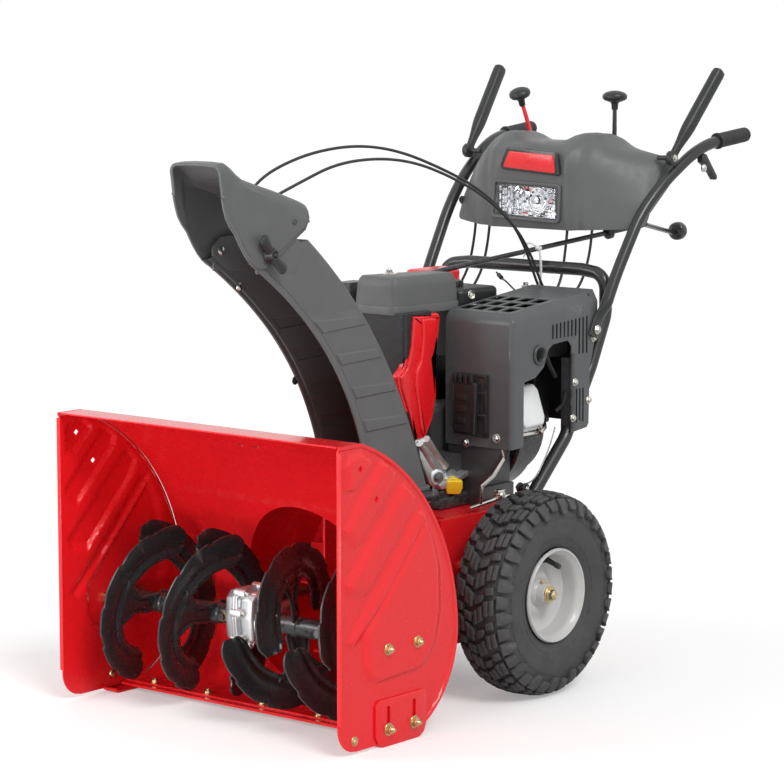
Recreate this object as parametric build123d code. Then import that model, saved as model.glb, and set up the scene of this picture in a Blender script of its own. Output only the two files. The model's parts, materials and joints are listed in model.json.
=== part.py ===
from build123d import *
from math import sin, cos, tan, radians, degrees, atan2, hypot, pi, ceil
import os

# Two-stage walk-behind snow blower. Millimetres, +Z up, the auger mouth faces -Y.
# The ground is z = 0 and x = 0 is the middle plane. Distances called "rear" are measured
# back from the front edge of the auger housing.

# ---- overall -------------------------------------------------------------------------------
HOUSING_FRONT_Y = -675.13
HOUSING_WIDTH = 660.0
HOUSING_TOP_Z = 536.0
HOUSING_DEPTH = 323.0
TYRE_DIAMETER = 381.0
TYRE_WIDTH = 110.0
TRACK_HALF = 295.5
WHEEL_REAR = 605.0
RUN = 0.05            # radial running clearance of a shaft in its hole
GAP = 0.3             # gap between pieces that pass each other


def rear(d):
    return HOUSING_FRONT_Y + d


# ---- auger housing -------------------------------------------------------------------------
PLATE_T = 3.0
WRAP_T = 2.5
LIP_H = 15.0
TOP_DEPTH = 58.0
PLATE_BOTTOM_Z = 6.0
BACK_ARC_Z = 179.0
BACK_ARC_R = 180.0
CORNER_R = 46.0
PLATE_FLANGE = 9.0
DRIFT_HOLE = 9.5
DRIFT_HOLES = [(51.0, 493.0), (94.0, 434.0)]
PRESS_H = 8.0         # how far the pressed panels of the side plates stand out
PRESS_WALL = 2.6
SCRAPER_T = 5.0
SCRAPER_W = 52.0

# ---- auger ---------------------------------------------------------------------------------
AUGER_REAR = 163.0
AUGER_Z = 172.0
AUGER_R = 150.0
FLIGHT_W = 52.0
FLIGHT_T = 4.5
FLIGHT_PITCH = 185.0
FLIGHT_SPAN = 168.0
FLIGHT_X = [95.0, 240.0]
FLIGHT_PHASE_RIGHT = 82.0
FLIGHT_PHASE_LEFT = 4.0
AUGER_SHAFT_R = 12.7
AUGER_TUBE_R = 17.5
SHEAR_PIN_R = 4.0
SHEAR_PIN_X = [62.0, 168.0]

# ---- gearbox and impeller ------------------------------------------------------------------
GEAR_MODULE = 2.35
WHEEL_TEETH = 20
WORM_STARTS = 2
WORM_R = 9.5
IMPELLER_Z = AUGER_Z + WORM_R + GEAR_MODULE * WHEEL_TEETH / 2
DRUM_R = 157.0
DRUM_REAR = 497.0
IMPELLER_R = 150.0
IMPELLER_FRONT = 346.0
IMPELLER_BACK = 468.0
IMPELLER_BLADES = 4
IMPELLER_SHAFT_R = 9.5
PULLEY_REAR = 534.0
AUGER_PULLEY_R = 92.0

# ---- chute ---------------------------------------------------------------------------------
CHUTE_X = 80.0
CHUTE_REAR = 423.0
CHUTE_W = 104.0
CHUTE_WALL = 3.5
NECK_R = 76.0
NECK_TOP_Z = 366.5
RING_MODULE = 4.0
RING_TEETH = 48
IDLER_TEETH = 28
PINION_TEETH = 14
RING_GEAR_T = 11.0
TOOTH_FACE = 8.0
RING_Z = NECK_TOP_Z + 2.5
HOOD_W = 2 * GAP + 2 * 3.0 + CHUTE_W
HOOD_T = 3.0
HOOD_PIVOT = (44.0, 846.0)

# ---- frame and wheels ----------------------------------------------------------------------
FRAME_HALF = 190.0
FRAME_FRONT = 499.0
FRAME_BACK = 735.0
FRAME_BOTTOM_Z = 95.0
FRAME_TOP_Z = 330.0
FRAME_T = 2.5
AXLE_R = 9.5
AXLE_Z = TYRE_DIAMETER / 2
RIM_FLANGE_R = 88.0
RIM_BEAD_R = 76.0
RIM_HALF = 50.0
HUB_R = 19.0
DRIVE_MODULE = 2.5
AXLE_TEETH = 48
HEX_TEETH = 12
FRICTION_R = 59.0
DISC_R = 64.0
DISC_PULLEY_R = 50.0

# ---- engine --------------------------------------------------------------------------------
CRANK_Z = 442.0
CRANK_PULLEY_R = 32.0
CRANK_R = 9.5
BLOCK_FRONT = 590.0
BLOCK_BACK = 790.0
CYLINDER_TILT = 20.0
FLYWHEEL_R = 92.0
SHIELD_X = (59.0, 216.3)
SHIELD_REAR = (636.0, 908.0)
SHIELD_Z = (444.0, 686.0)
SHIELD_T = 2.5

# ---- handles and console -------------------------------------------------------------------
TUBE_R = 12.7
HANDLE_X = 229.0
GRIP_R = 13.5
CABLE_R = 2.8
LEVER_T = 9.0

parts = {}

AUGER_Y = rear(AUGER_REAR)
WHEEL_Y = rear(WHEEL_REAR)


def cyl_x(r, x0, x1, y, z):
    return Pos((x0 + x1) / 2, y, z) * Rot(0, 90, 0) * Cylinder(r, abs(x1 - x0))


def cyl_y(r, y0, y1, x, z):
    return Pos(x, (y0 + y1) / 2, z) * Rot(90, 0, 0) * Cylinder(r, abs(y1 - y0))


def cyl_z(r, z0, z1, x, y):
    return Pos(x, y, (z0 + z1) / 2) * Cylinder(r, abs(z1 - z0))


def block(x0, x1, y0, y1, z0, z1):
    return Pos((x0 + x1) / 2, (y0 + y1) / 2, (z0 + z1) / 2) * Box(abs(x1 - x0), abs(y1 - y0), abs(z1 - z0))


def rod(p, q, r):
    p, q = Vector(*p), Vector(*q)
    plane = Plane(origin=p, z_dir=q - p)
    return plane * Pos(0, 0, (q - p).length / 2) * Cylinder(r, (q - p).length)


def bar(p, q, w, t, side):
    """A flat bar from p to q: w wide along side, t thick."""
    p, q = Vector(*p), Vector(*q)
    plane = Plane(origin=p, z_dir=q - p, x_dir=Vector(*side))
    return plane * Pos(0, 0, (q - p).length / 2) * Box(w, t, (q - p).length)


def side_face(points):
    """A face in the vertical plane x = 0 from (rear, z) points."""
    return make_face(Plane.YZ * Polyline([(rear(a), b) for a, b in points], close=True))


def front_face(points, y=0.0):
    """A face in the vertical plane y from (x, z) points, facing -Y."""
    pts = [(a, y, b) for a, b in points]
    return make_face(Polyline(pts, close=True))


def extrude_x(face, x0, x1):
    return Pos(x0, 0, 0) * extrude(face, x1 - x0, dir=(1, 0, 0))


def extrude_y(face, y0, y1):
    return Pos(0, y0, 0) * extrude(face, y1 - y0, dir=(0, 1, 0))


def mirror_x(shape):
    return mirror(shape, about=Plane.YZ)


def bolt_x(x, y, z, r, head, side):
    """A bolt along X: shank inside, hexagon head outside towards side."""
    shank = cyl_x(r, x - side * 8, x, y, z)
    cap = extrude(Plane(origin=(x, y, z), z_dir=(side, 0, 0)) * RegularPolygon(head, 6), 5)
    return shank + cap


def spur(teeth, module, width, bore):
    """A spur gear about Z from z = 0, with clearance at the flanks."""
    r = module * teeth / 2
    root, tip = r - 1.2 * module, r + 0.9 * module
    pitch = pi * module
    tooth = [(root - 1, -0.29 * pitch), (r, -0.215 * pitch), (tip, -0.11 * pitch)]
    tooth = tooth + [(a, -b) for a, b in reversed(tooth)]
    one = make_face(Polyline([(a, b) for a, b in tooth], close=True))
    profile = Circle(root)
    for k in range(teeth):
        profile = profile + Rot(0, 0, 360 * k / teeth) * one
    gear = extrude(profile, width)
    if bore > 0:
        gear = gear - Pos(0, 0, width / 2) * Cylinder(bore, 3 * width)
    return gear


# ================================ auger housing =============================================
def housing_edge(inset=0.0):
    """The closed side outline, moved inwards by inset along its curved back."""
    i = inset
    cy = rear(HOUSING_DEPTH - BACK_ARC_R)
    lower = radians(-58)
    p_low = (cy + (BACK_ARC_R - i) * cos(lower), BACK_ARC_Z + (BACK_ARC_R - i) * sin(lower))
    mid = radians(-28)
    p_mid = (cy + (BACK_ARC_R - i) * cos(mid), BACK_ARC_Z + (BACK_ARC_R - i) * sin(mid))
    y_back = rear(HOUSING_DEPTH) - i
    top = HOUSING_TOP_Z - i
    y_top = rear(TOP_DEPTH)
    chord = Vector(y_back - y_top, BACK_ARC_Z - top)
    normal = Vector(-chord.Y, chord.X).normalized()
    upper = Vector((y_top + y_back) / 2, (top + BACK_ARC_Z) / 2) + normal * 70.6
    bottom = PLATE_BOTTOM_Z
    y_foot = p_low[0] - (p_low[1] - bottom) * 1.6
    edges = [
        Line((rear(0), bottom + CORNER_R), (rear(0), top)),
        Line((rear(0), top), (y_top, top)),
        ThreePointArc((y_top, top), (upper.X, upper.Y), (y_back, BACK_ARC_Z)),
        ThreePointArc((y_back, BACK_ARC_Z), p_mid, p_low),
        Line(p_low, (y_foot, bottom)),
        Line((y_foot, bottom), (rear(CORNER_R), bottom)),
        RadiusArc((rear(CORNER_R), bottom), (rear(0), bottom + CORNER_R), CORNER_R),
    ]
    return make_face([Plane.YZ * e for e in edges])


half_w = HOUSING_WIDTH / 2
outer = housing_edge()
inner = housing_edge(WRAP_T)
drum_y0 = rear(250)
wrap = extrude_x(outer, -half_w, half_w) - extrude_x(inner, -half_w - 1, half_w + 1)
wrap = wrap - block(-400, 400, rear(-20), rear(8), 0, HOUSING_TOP_Z - LIP_H)
wrap = wrap - block(-400, 400, rear(-20), rear(WRAP_T), 0, HOUSING_TOP_Z - LIP_H)
wrap = wrap - block(-400, 400, rear(5), rear(188), 0, 60)
wrap = wrap - cyl_y(DRUM_R, drum_y0, rear(360), 0, IMPELLER_Z)
for hx in (-38, 0):
    wrap = wrap - Pos(hx + 12, rear(155), 490) * Rot(-48, 0, 0) * Cylinder(4.5, 40)
lip_z = PLATE_BOTTOM_Z + SCRAPER_T + 0.02
lip = block(-half_w, half_w, rear(164), rear(214), lip_z, lip_z + WRAP_T)
wrap = wrap + (lip & extrude_x(outer, -half_w, half_w))
SCRAPER_BOLTS = [-270, -135, 0, 135, 270]
BOLT_R = 4.0
for sx in SCRAPER_BOLTS:
    wrap = wrap - cyl_z(BOLT_R, 0, 40, sx, rear(178))
parts["auger_housing"] = wrap


def panel(points, radius):
    """A pressed panel's outline in the side plane, with rounded corners."""
    face = make_face(Polyline([(rear(a), b) for a, b in points], close=True))
    return fillet(face.vertices(), radius)


PANELS = [
    panel([(14, 456), (14, 512), (50, 522), (78, 516), (82, 502), (36, 458)], 5),
    panel([(14, 398), (112, 492), (142, 466), (40, 360), (16, 372)], 7),
    panel([(16, 304), (163, 450), (198, 422), (54, 266), (22, 280)], 7),
    panel([(22, 202), (222, 394), (252, 350), (276, 280), (281, 216), (268, 166), (246, 146), (212, 129),
           (104, 117), (80, 132), (66, 164), (62, 194)], 8),
]
plate = extrude_x(outer, half_w, half_w + PLATE_T)
rim_out = extrude_x(outer - housing_edge(5), half_w, half_w + PLATE_T + 3)
rim_out = rim_out - block(300, 400, rear(-20), rear(300), 0, PLATE_BOTTOM_Z + 36)
plate = plate + rim_out
plate = plate + block(half_w, half_w + PLATE_FLANGE, rear(0), rear(PLATE_T), 60, HOUSING_TOP_Z - 12)
for outline in PANELS:
    raised = extrude_x(Plane.YZ * outline, half_w, half_w + PLATE_T + PRESS_H)
    hollow = extrude_x(Plane.YZ * offset(outline, -PRESS_WALL), half_w - 1, half_w + PRESS_H)
    plate = plate + raised - hollow
for a, b in DRIFT_HOLES:
    cut = Pos(half_w, rear(a), b) * Rot(45, 0, 0) * Box(60, DRIFT_HOLE, DRIFT_HOLE)
    plate = plate - cut
BEARING_BOLTS = [(AUGER_REAR - 40, AUGER_Z), (AUGER_REAR + 40, AUGER_Z)]
SKID_BOLTS = [(128.0, 30.0), (198.0, 30.0)]
FRONT_BOLT = (42.0, 25.0)
for a, b in BEARING_BOLTS + SKID_BOLTS + [FRONT_BOLT]:
    plate = plate - cyl_x(BOLT_R, 300, 400, rear(a), b)
parts["side_plate_right"] = plate
parts["side_plate_left"] = mirror_x(plate)

# impeller drum: a can behind the housing, open at the front, with the chute neck on top
drum = cyl_y(DRUM_R + WRAP_T, rear(200), rear(DRUM_REAR), 0, IMPELLER_Z)
drum = drum - extrude_x(housing_edge(-0.02), -400, 400)
neck = cyl_z(NECK_R + WRAP_T, IMPELLER_Z + 60, NECK_TOP_Z, CHUTE_X, rear(CHUTE_REAR))
neck_flange = cyl_z(NECK_R + 14, NECK_TOP_Z - 3, NECK_TOP_Z, CHUTE_X, rear(CHUTE_REAR))
neck_flange = neck_flange - block(-400, 400, rear(DRUM_REAR), rear(900), 300, 400)
drum = drum + (neck - cyl_y(DRUM_R + 1, rear(0), rear(800), 0, IMPELLER_Z)) + neck_flange
drum = drum - cyl_y(DRUM_R, rear(0), rear(DRUM_REAR - WRAP_T), 0, IMPELLER_Z)
drum = drum - cyl_z(NECK_R, IMPELLER_Z + 20, 400, CHUTE_X, rear(CHUTE_REAR))
drum = drum - block(-400, 400, rear(DRUM_REAR), rear(900), 0, 500)
drum = drum - cyl_y(IMPELLER_SHAFT_R + RUN, rear(400), rear(600), 0, IMPELLER_Z)
parts["impeller_drum"] = drum

scraper_y = rear(148.0)
scraper = block(-half_w + 2, half_w - 2, scraper_y, scraper_y + SCRAPER_W, PLATE_BOTTOM_Z, PLATE_BOTTOM_Z + SCRAPER_T)
for sx in SCRAPER_BOLTS:
    scraper = scraper - cyl_z(BOLT_R, 0, 40, sx, rear(178))
parts["scraper_bar"] = scraper

# skid shoes: a slotted plate outside each side plate with a runner turned under it
SHOE_T = 4.5
SHOE_X = half_w + PLATE_T + 0.2
SHOE_TRAVEL = 36.0
shoe = side_face([(95, 20), (104, 6), (112, 0), (214, 0), (226, 8), (232, 22), (232, 76), (224, 84), (104, 84), (95, 76)])
shoe = extrude_x(shoe, SHOE_X, SHOE_X + SHOE_T)
runner = side_face([(112, 0), (214, 0), (222, 5), (218, 9), (212, 4.6), (114, 4.6), (108, 9), (104, 5)])
shoe = shoe + extrude_x(runner, SHOE_X - 34, SHOE_X + 1)
shoe = shoe - block(SHOE_X - 40, SHOE_X - 0.2, rear(90), rear(240), PLATE_BOTTOM_Z - 1.0, 90)
for a, b in SKID_BOLTS:
    slot = Pos(SHOE_X, rear(a), b + SHOE_TRAVEL / 2) * Rot(0, 90, 0) * Rot(0, 0, 0)
    face = Plane(origin=(SHOE_X - 5, rear(a), b + SHOE_TRAVEL / 2), x_dir=(0, 0, 1), z_dir=(1, 0, 0))
    shoe = shoe - extrude(face * SlotCenterToCenter(SHOE_TRAVEL + 1, 2 * BOLT_R + 1.0), 20)
parts["skid_shoe_right"] = shoe
parts["skid_shoe_left"] = mirror_x(shoe)

fasteners = []
for a, b in BEARING_BOLTS:
    face = Plane(origin=(half_w + PLATE_T + PRESS_H + 0.02, rear(a), b), z_dir=(1, 0, 0))
    fasteners.append(cyl_x(BOLT_R - RUN, half_w - 6, half_w + PLATE_T + PRESS_H + 12, rear(a), b)
                     + extrude(face * RegularPolygon(7.5, 6), 7) + extrude(face * Circle(10), 1.5)
                     + cyl_x(7, half_w - 6, half_w - 0.5, rear(a), b))
for a, b in SKID_BOLTS:
    face = Plane(origin=(SHOE_X + SHOE_T + 0.1, rear(a), b), z_dir=(1, 0, 0))
    fasteners.append(cyl_x(BOLT_R - RUN, half_w - 4, half_w + 24, rear(a), b)
                     + extrude(face * RegularPolygon(8, 6), 8) + extrude(face * Circle(11), 1.6)
                     + cyl_x(9, half_w - 4, half_w - 0.02, rear(a), b))
a, b = FRONT_BOLT
fasteners.append(cyl_x(BOLT_R - RUN, half_w - 6, half_w + 7, rear(a), b)
                 + cyl_x(8.5, half_w + PLATE_T + 0.02, half_w + 6, rear(a), b))
fasteners = fasteners + [mirror_x(f) for f in fasteners]
for sx in SCRAPER_BOLTS:
    fasteners.append(cyl_z(BOLT_R - RUN, PLATE_BOTTOM_Z + 0.5, lip_z + 4, sx, rear(178))
                     + Pos(sx, rear(178), lip_z + WRAP_T + 0.02) * extrude(RegularPolygon(7.5, 6), 4))
parts["housing_fasteners"] = Compound(children=fasteners)

# ================================ auger =====================================================
SHAFT_END = half_w + PRESS_H - 1.0
WORM_GAP = 0.35
shaft = cyl_x(AUGER_SHAFT_R, -SHAFT_END, SHAFT_END, AUGER_Y, AUGER_Z)
gear_r = GEAR_MODULE * WHEEL_TEETH / 2
wheel_half = 5.0
lead = WORM_STARTS * pi * GEAR_MODULE
lead_angle = degrees(atan2(lead, 2 * pi * WORM_R))
worm_wheel = cyl_x(gear_r - 2.9, -wheel_half, wheel_half, AUGER_Y, AUGER_Z)
for k in range(WHEEL_TEETH):
    tooth = Box(2 * wheel_half, 2.5, 5.0)
    tooth = Pos(0, 0, gear_r - 1.0) * Rot(0, 0, lead_angle) * tooth
    worm_wheel = worm_wheel + Pos(0, AUGER_Y, AUGER_Z) * Rot(360 * k / WHEEL_TEETH, 0, 0) * tooth
shaft = shaft + worm_wheel
for px in SHEAR_PIN_X:
    for s in (-1, 1):
        shaft = shaft + cyl_y(SHEAR_PIN_R, AUGER_Y - 28, AUGER_Y + 26, s * px, AUGER_Z)
        shaft = shaft + cyl_y(7, AUGER_Y - 28, AUGER_Y - 23, s * px, AUGER_Z)
parts["auger_shaft"] = shaft

AXIS_PLANE = Plane(origin=(0, AUGER_Y, AUGER_Z), x_dir=(0, -1, 0), z_dir=(1, 0, 0))
FLIGHT_RM = AUGER_R - FLIGHT_W / 2
TUBE_IN = 44.0
TUBE_OUT = half_w - 10.0


def ribbon():
    """One C-shaped flight about Z, centred on angle 0 and z = 0, rising with the angle."""
    turn = FLIGHT_SPAN / 360
    helix = Helix(pitch=FLIGHT_PITCH, height=FLIGHT_PITCH * turn, radius=FLIGHT_RM)
    start = helix.position_at(0)
    tangent = helix.tangent_at(0)
    plane = Plane(origin=start, x_dir=(1, 0, 0), z_dir=tangent)
    section = plane * Rectangle(FLIGHT_W, FLIGHT_T)
    body = sweep(section, path=helix, is_frenet=True)
    body = Rot(0, 0, -FLIGHT_SPAN / 2) * Pos(0, 0, -FLIGHT_PITCH * turn / 2) * body
    slope = degrees(atan2(FLIGHT_PITCH, 2 * pi * FLIGHT_RM))
    arm = Pos((FLIGHT_RM + 2) / 2 + 4, 0, 0) * Rot(slope, 0, 0) * Box(FLIGHT_RM - 6, 40, FLIGHT_T + 1)
    return body + arm


def auger_half(phase):
    tube = Pos(0, 0, (TUBE_IN + TUBE_OUT) / 2) * Cylinder(AUGER_TUBE_R, TUBE_OUT - TUBE_IN)
    one = ribbon()
    half = tube
    for fx in FLIGHT_X:
        for turn in (0, 180):
            half = half + Pos(0, 0, fx) * Rot(0, 0, turn - phase) * one
    half = half - Cylinder(AUGER_SHAFT_R + RUN, 2000)
    return AXIS_PLANE * half


right_half = auger_half(FLIGHT_PHASE_RIGHT)
left_half = mirror_x(auger_half(FLIGHT_PHASE_LEFT))
for px in SHEAR_PIN_X:
    right_half = right_half - cyl_y(SHEAR_PIN_R + RUN, AUGER_Y - 60, AUGER_Y + 60, px, AUGER_Z)
    left_half = left_half - cyl_y(SHEAR_PIN_R + RUN, AUGER_Y - 60, AUGER_Y + 60, -px, AUGER_Z)
    right_half = right_half - cyl_y(7.2, AUGER_Y - 60, AUGER_Y - 22.5, px, AUGER_Z)
    left_half = left_half - cyl_y(7.2, AUGER_Y - 60, AUGER_Y - 22.5, -px, AUGER_Z)
parts["auger_right"] = right_half
parts["auger_left"] = left_half

bearings = []
BEARING_R = AUGER_SHAFT_R + 8
for s in (-1, 1):
    bush = cyl_x(BEARING_R, s * (half_w - 8), s * (half_w + PRESS_H - 0.02), AUGER_Y, AUGER_Z)
    ear = Plane(origin=(s * (half_w - 0.3), AUGER_Y, AUGER_Z), z_dir=(s, 0, 0), x_dir=(0, 1, 0))
    flange = extrude(ear * SlotCenterToCenter(80, 30), PRESS_H + 0.28)
    bush = bush + flange - cyl_x(AUGER_SHAFT_R + RUN, -400, 400, AUGER_Y, AUGER_Z)
    for a, b in BEARING_BOLTS:
        bush = bush - cyl_x(BOLT_R, -400, 400, rear(a), b)
    bearings.append(bush)
parts["auger_bearings"] = Compound(children=bearings)

# gearbox: a case round the worm wheel with a neck round the worm shaft
CASE_HALF = 34.0
CASE_WALL = 6.0
case = cyl_x(gear_r + 3 + CASE_WALL, -CASE_HALF, CASE_HALF, AUGER_Y, AUGER_Z)
worm_y0 = AUGER_Y - 40
case = case + cyl_y(WORM_R + 12, AUGER_Y - 48, AUGER_Y + 86, 0, IMPELLER_Z)
cover_plate = Pos(0, AUGER_Y - 50, AUGER_Z + 18) * Box(2 * CASE_HALF, 7, 86)
cover_plate = fillet(cover_plate.edges().filter_by(Axis.Y), 9)
case = case + cover_plate + block(-CASE_HALF + 4, CASE_HALF - 4, AUGER_Y - 48, AUGER_Y, AUGER_Z - 20, AUGER_Z + 52)
case = case + block(-3, 3, AUGER_Y - 48, AUGER_Y + 60, AUGER_Z - 44, AUGER_Z + 66)
case = case - cyl_x(gear_r + 4, -wheel_half - 2, wheel_half + 2, AUGER_Y, AUGER_Z)
case = case - cyl_y(WORM_R + 4.5, worm_y0, AUGER_Y + 60, 0, IMPELLER_Z)
case = case - cyl_x(AUGER_SHAFT_R + RUN, -60, 60, AUGER_Y, AUGER_Z)
case = case - cyl_y(IMPELLER_SHAFT_R + RUN, AUGER_Y - 10, AUGER_Y + 100, 0, IMPELLER_Z)
for bx in (-26, 26):
    for bz in (-16, 18, 52):
        case = case + cyl_y(4.5, AUGER_Y - 57, AUGER_Y - 50, bx, AUGER_Z + bz)
parts["auger_gearbox"] = case

worm_len = 56.0
impeller_shaft = cyl_y(IMPELLER_SHAFT_R, AUGER_Y + 34, rear(PULLEY_REAR + 9), 0, IMPELLER_Z)
worm_core = cyl_y(WORM_R - 3.0, AUGER_Y - worm_len / 2 - 6, AUGER_Y + 40, 0, IMPELLER_Z)
impeller_shaft = impeller_shaft + worm_core
worm_plane = Plane(origin=(0, AUGER_Y - worm_len / 2, IMPELLER_Z), x_dir=(1, 0, 0), z_dir=(0, 1, 0))
thread = Helix(pitch=lead, height=worm_len, radius=WORM_R - 1.0, lefthand=True)
start = thread.position_at(0)
thread_section = Plane(origin=start, x_dir=(1, 0, 0), z_dir=thread.tangent_at(0)) * Rectangle(4.4, 2.2)
thread_body = sweep(thread_section, path=thread, is_frenet=True)
WORM_PHASE = 142.0
for k in range(WORM_STARTS):
    impeller_shaft = impeller_shaft + worm_plane * Rot(0, 0, WORM_PHASE + 360 * k / WORM_STARTS) * thread_body

HUB_LEN = IMPELLER_BACK - IMPELLER_FRONT
impeller = cyl_y(24, rear(IMPELLER_FRONT), rear(IMPELLER_BACK), 0, IMPELLER_Z)
for k in range(IMPELLER_BLADES):
    blade = block(-2.5, 2.5, rear(IMPELLER_FRONT + 4), rear(IMPELLER_BACK - 2), 20, IMPELLER_R)
    tip = block(-2.5, 26, rear(IMPELLER_FRONT + 4), rear(IMPELLER_BACK - 2), IMPELLER_R - 26, IMPELLER_R - 21)
    web = block(0, 52, rear(IMPELLER_BACK - 8), rear(IMPELLER_BACK - 3), 22, IMPELLER_R - 22)
    impeller = impeller + Pos(0, 0, IMPELLER_Z) * Rot(0, 360 * k / IMPELLER_BLADES, 0) * (blade + tip + web)
impeller = impeller - cyl_y(IMPELLER_SHAFT_R + 0.02, rear(200), rear(700), 0, IMPELLER_Z)
parts["impeller"] = impeller


def pulley(r, y, width, bore, x, z):
    body = cyl_y(r, y - width / 2, y + width / 2, x, z)
    groove = revolve(Plane.YZ * make_face(Polyline([(-4, r + 0.1), (4, r + 0.1), (2, r - 9), (-2, r - 9)],
                                                   close=True)), Axis.Y)
    body = body - Pos(x, y, z) * groove
    return body - cyl_y(bore, y - width, y + width, x, z)


auger_pulley = pulley(AUGER_PULLEY_R, rear(PULLEY_REAR), 14, IMPELLER_SHAFT_R + 0.02, 0, IMPELLER_Z)
for k in range(5):
    hole = Pos(0, rear(PULLEY_REAR), IMPELLER_Z) * Rot(0, 72 * k, 0) * Pos(0, 0, 52) * Rot(90, 0, 0)
    auger_pulley = auger_pulley - hole * Cylinder(19, 40)
parts["impeller_shaft"] = Compound(children=[impeller_shaft, auger_pulley])

# ================================ chute =====================================================
SHIFT = 18.0


def channel_face(front_out, back_in, over):
    """Side face of the chute: front_out moves the open front, back_in the back wall."""
    f = front_out
    b = back_in
    fr = [(-18 - f, 832), (149 - f, 700), (274 - f, 501), (306 - f, RING_Z + RING_GEAR_T)]
    bk = [(146 - b, 863 - 0.8 * b), (318 - b, 690 - 0.6 * b), (433 - b, 493 - 0.3 * b), (478 - b, RING_Z + RING_GEAR_T)]
    y = [(rear(p + SHIFT), q) for p, q in fr]
    k = [(rear(p + SHIFT), q) for p, q in bk]
    tx, tz = -0.74 * over, 0.67 * over
    top_f = (y[0][0] + tx, y[0][1] + tz)
    top_b = (k[0][0] + tx, k[0][1] + tz)
    low_f = (y[3][0], y[3][1] - over)
    low_b = (k[3][0], k[3][1] - over)
    edges = [ThreePointArc(y[0], y[1], y[2]), Line(y[2], y[3])]
    edges = edges + [ThreePointArc(k[2], k[1], k[0]), Line(k[3], k[2])]
    if over > 0:
        edges = edges + [Line(top_f, y[0]), Line(k[0], top_b), Line(y[3], low_f), Line(low_b, k[3])]
    edges = edges + [Line(low_f, low_b), Line(top_b, top_f)]
    return make_face([Plane.YZ * e for e in edges])


cw = CHUTE_W / 2
channel = extrude_x(channel_face(0, 0, 0), CHUTE_X - cw, CHUTE_X + cw)
long_edges = [e for e in channel.edges() if e.geom_type == GeomType.CIRCLE and e.length > 250
              and e.center().Y > rear(230)]
hollow = extrude_x(channel_face(60, CHUTE_WALL, 14), CHUTE_X - cw + CHUTE_WALL, CHUTE_X + cw - CHUTE_WALL)
channel = fillet(long_edges, 10) - fillet([e for e in hollow.edges() if e.geom_type == GeomType.CIRCLE
                                           and e.length > 250 and e.center().Y > rear(200)], 7)
front_lip = extrude_x(channel_face(0, 0, 0) - channel_face(-5, -20, 0), CHUTE_X + cw - 0.5, CHUTE_X + cw + 2.5)
front_lip = front_lip & block(0, 200, rear(0), rear(400), 395, 806)
channel = channel + front_lip + mirror(front_lip, about=Plane.YZ.offset(CHUTE_X))
ear = side_face([(26, 815), (24, 852), (44, 870), (120, 872), (150, 850), (120, 815)])
ear = extrude_x(ear, CHUTE_X + cw - CHUTE_WALL, CHUTE_X + cw)
channel = channel + ear + mirror(ear, about=Plane.YZ.offset(CHUTE_X))
bracket = block(CHUTE_X - cw - 18, CHUTE_X - cw + 1, rear(96), rear(124), 798, 822)
channel = channel + bracket
# pivot holes for the hood bolts
piv_y, piv_z = rear(HOOD_PIVOT[0]), HOOD_PIVOT[1]
channel = channel - cyl_x(4.2, CHUTE_X - 100, CHUTE_X + 100, piv_y, piv_z)
ring = Pos(CHUTE_X, rear(CHUTE_REAR), RING_Z) * spur(RING_TEETH, RING_MODULE, TOOTH_FACE, NECK_R)
ring = ring + cyl_z(NECK_R + 13, NECK_TOP_Z + 0.3, RING_Z + 1, CHUTE_X, rear(CHUTE_REAR))
ring = ring + cyl_z(NECK_R - 0.6, NECK_TOP_Z - 9, RING_Z + 1, CHUTE_X, rear(CHUTE_REAR))
ring = ring + cyl_z(103, RING_Z + TOOTH_FACE - 0.02, RING_Z + RING_GEAR_T - 0.02, CHUTE_X, rear(CHUTE_REAR))
ring = ring - cyl_z(NECK_R - 4, 200, 500, CHUTE_X, rear(CHUTE_REAR))
parts["chute_ring"] = ring
parts["chute"] = channel

hood_side = [(-74, 1000), (-52, 1003), (-10, 975), (82, 947), (152, 926), (158, 910), (146, 884),
             (70, 838), (44, 822), (16, 824), (-8, 845), (-34, 884), (-56, 912), (-66, 946)]
hood_outer = side_face(hood_side)
hw = HOOD_W / 2
hood = extrude_x(hood_outer, CHUTE_X - hw, CHUTE_X + hw)
hood_in = side_face([(-90, 985), (-56, 1000 - HOOD_T), (-14, 972 - HOOD_T), (80, 944 - HOOD_T),
                     (148, 924 - HOOD_T), (154, 909), (141, 883), (170, 800), (-90, 800)])
hood = hood - extrude_x(hood_in, CHUTE_X - hw + HOOD_T, CHUTE_X + hw - HOOD_T)
mouth = side_face([(-74, 1000), (-58, 1001), (-50, 960), (-40, 905), (-8, 852), (-34, 884), (-56, 912), (-66, 946)])
mouth_lip = extrude_x(mouth, CHUTE_X + hw - 0.5, CHUTE_X + hw + 4)
hood = hood + mouth_lip + mirror(mouth_lip, about=Plane.YZ.offset(CHUTE_X))
hood = hood - cyl_x(4.2, CHUTE_X - 100, CHUTE_X + 100, piv_y, piv_z)
parts["deflector"] = hood

knobs = []
for s in (-1, 1):
    x0 = CHUTE_X + s * (cw - CHUTE_WALL - 4)
    x1 = CHUTE_X + s * (hw + 20)
    stud = cyl_x(4.0, x0, x1, piv_y, piv_z) + cyl_x(8, x0, x0 + s * 3.9, piv_y, piv_z)
    stud = stud + cyl_x(12, CHUTE_X + s * (hw + 4.4), CHUTE_X + s * (hw + 14), piv_y, piv_z)
    wing = Pos(CHUTE_X + s * (hw + 16), piv_y, piv_z) * Rot(-38, 0, 0) * Box(11, 9, 56)
    knobs.append(stud + wing)
parts["deflector_knob_left"] = knobs[0]
parts["deflector_knob_right"] = knobs[1]

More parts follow.
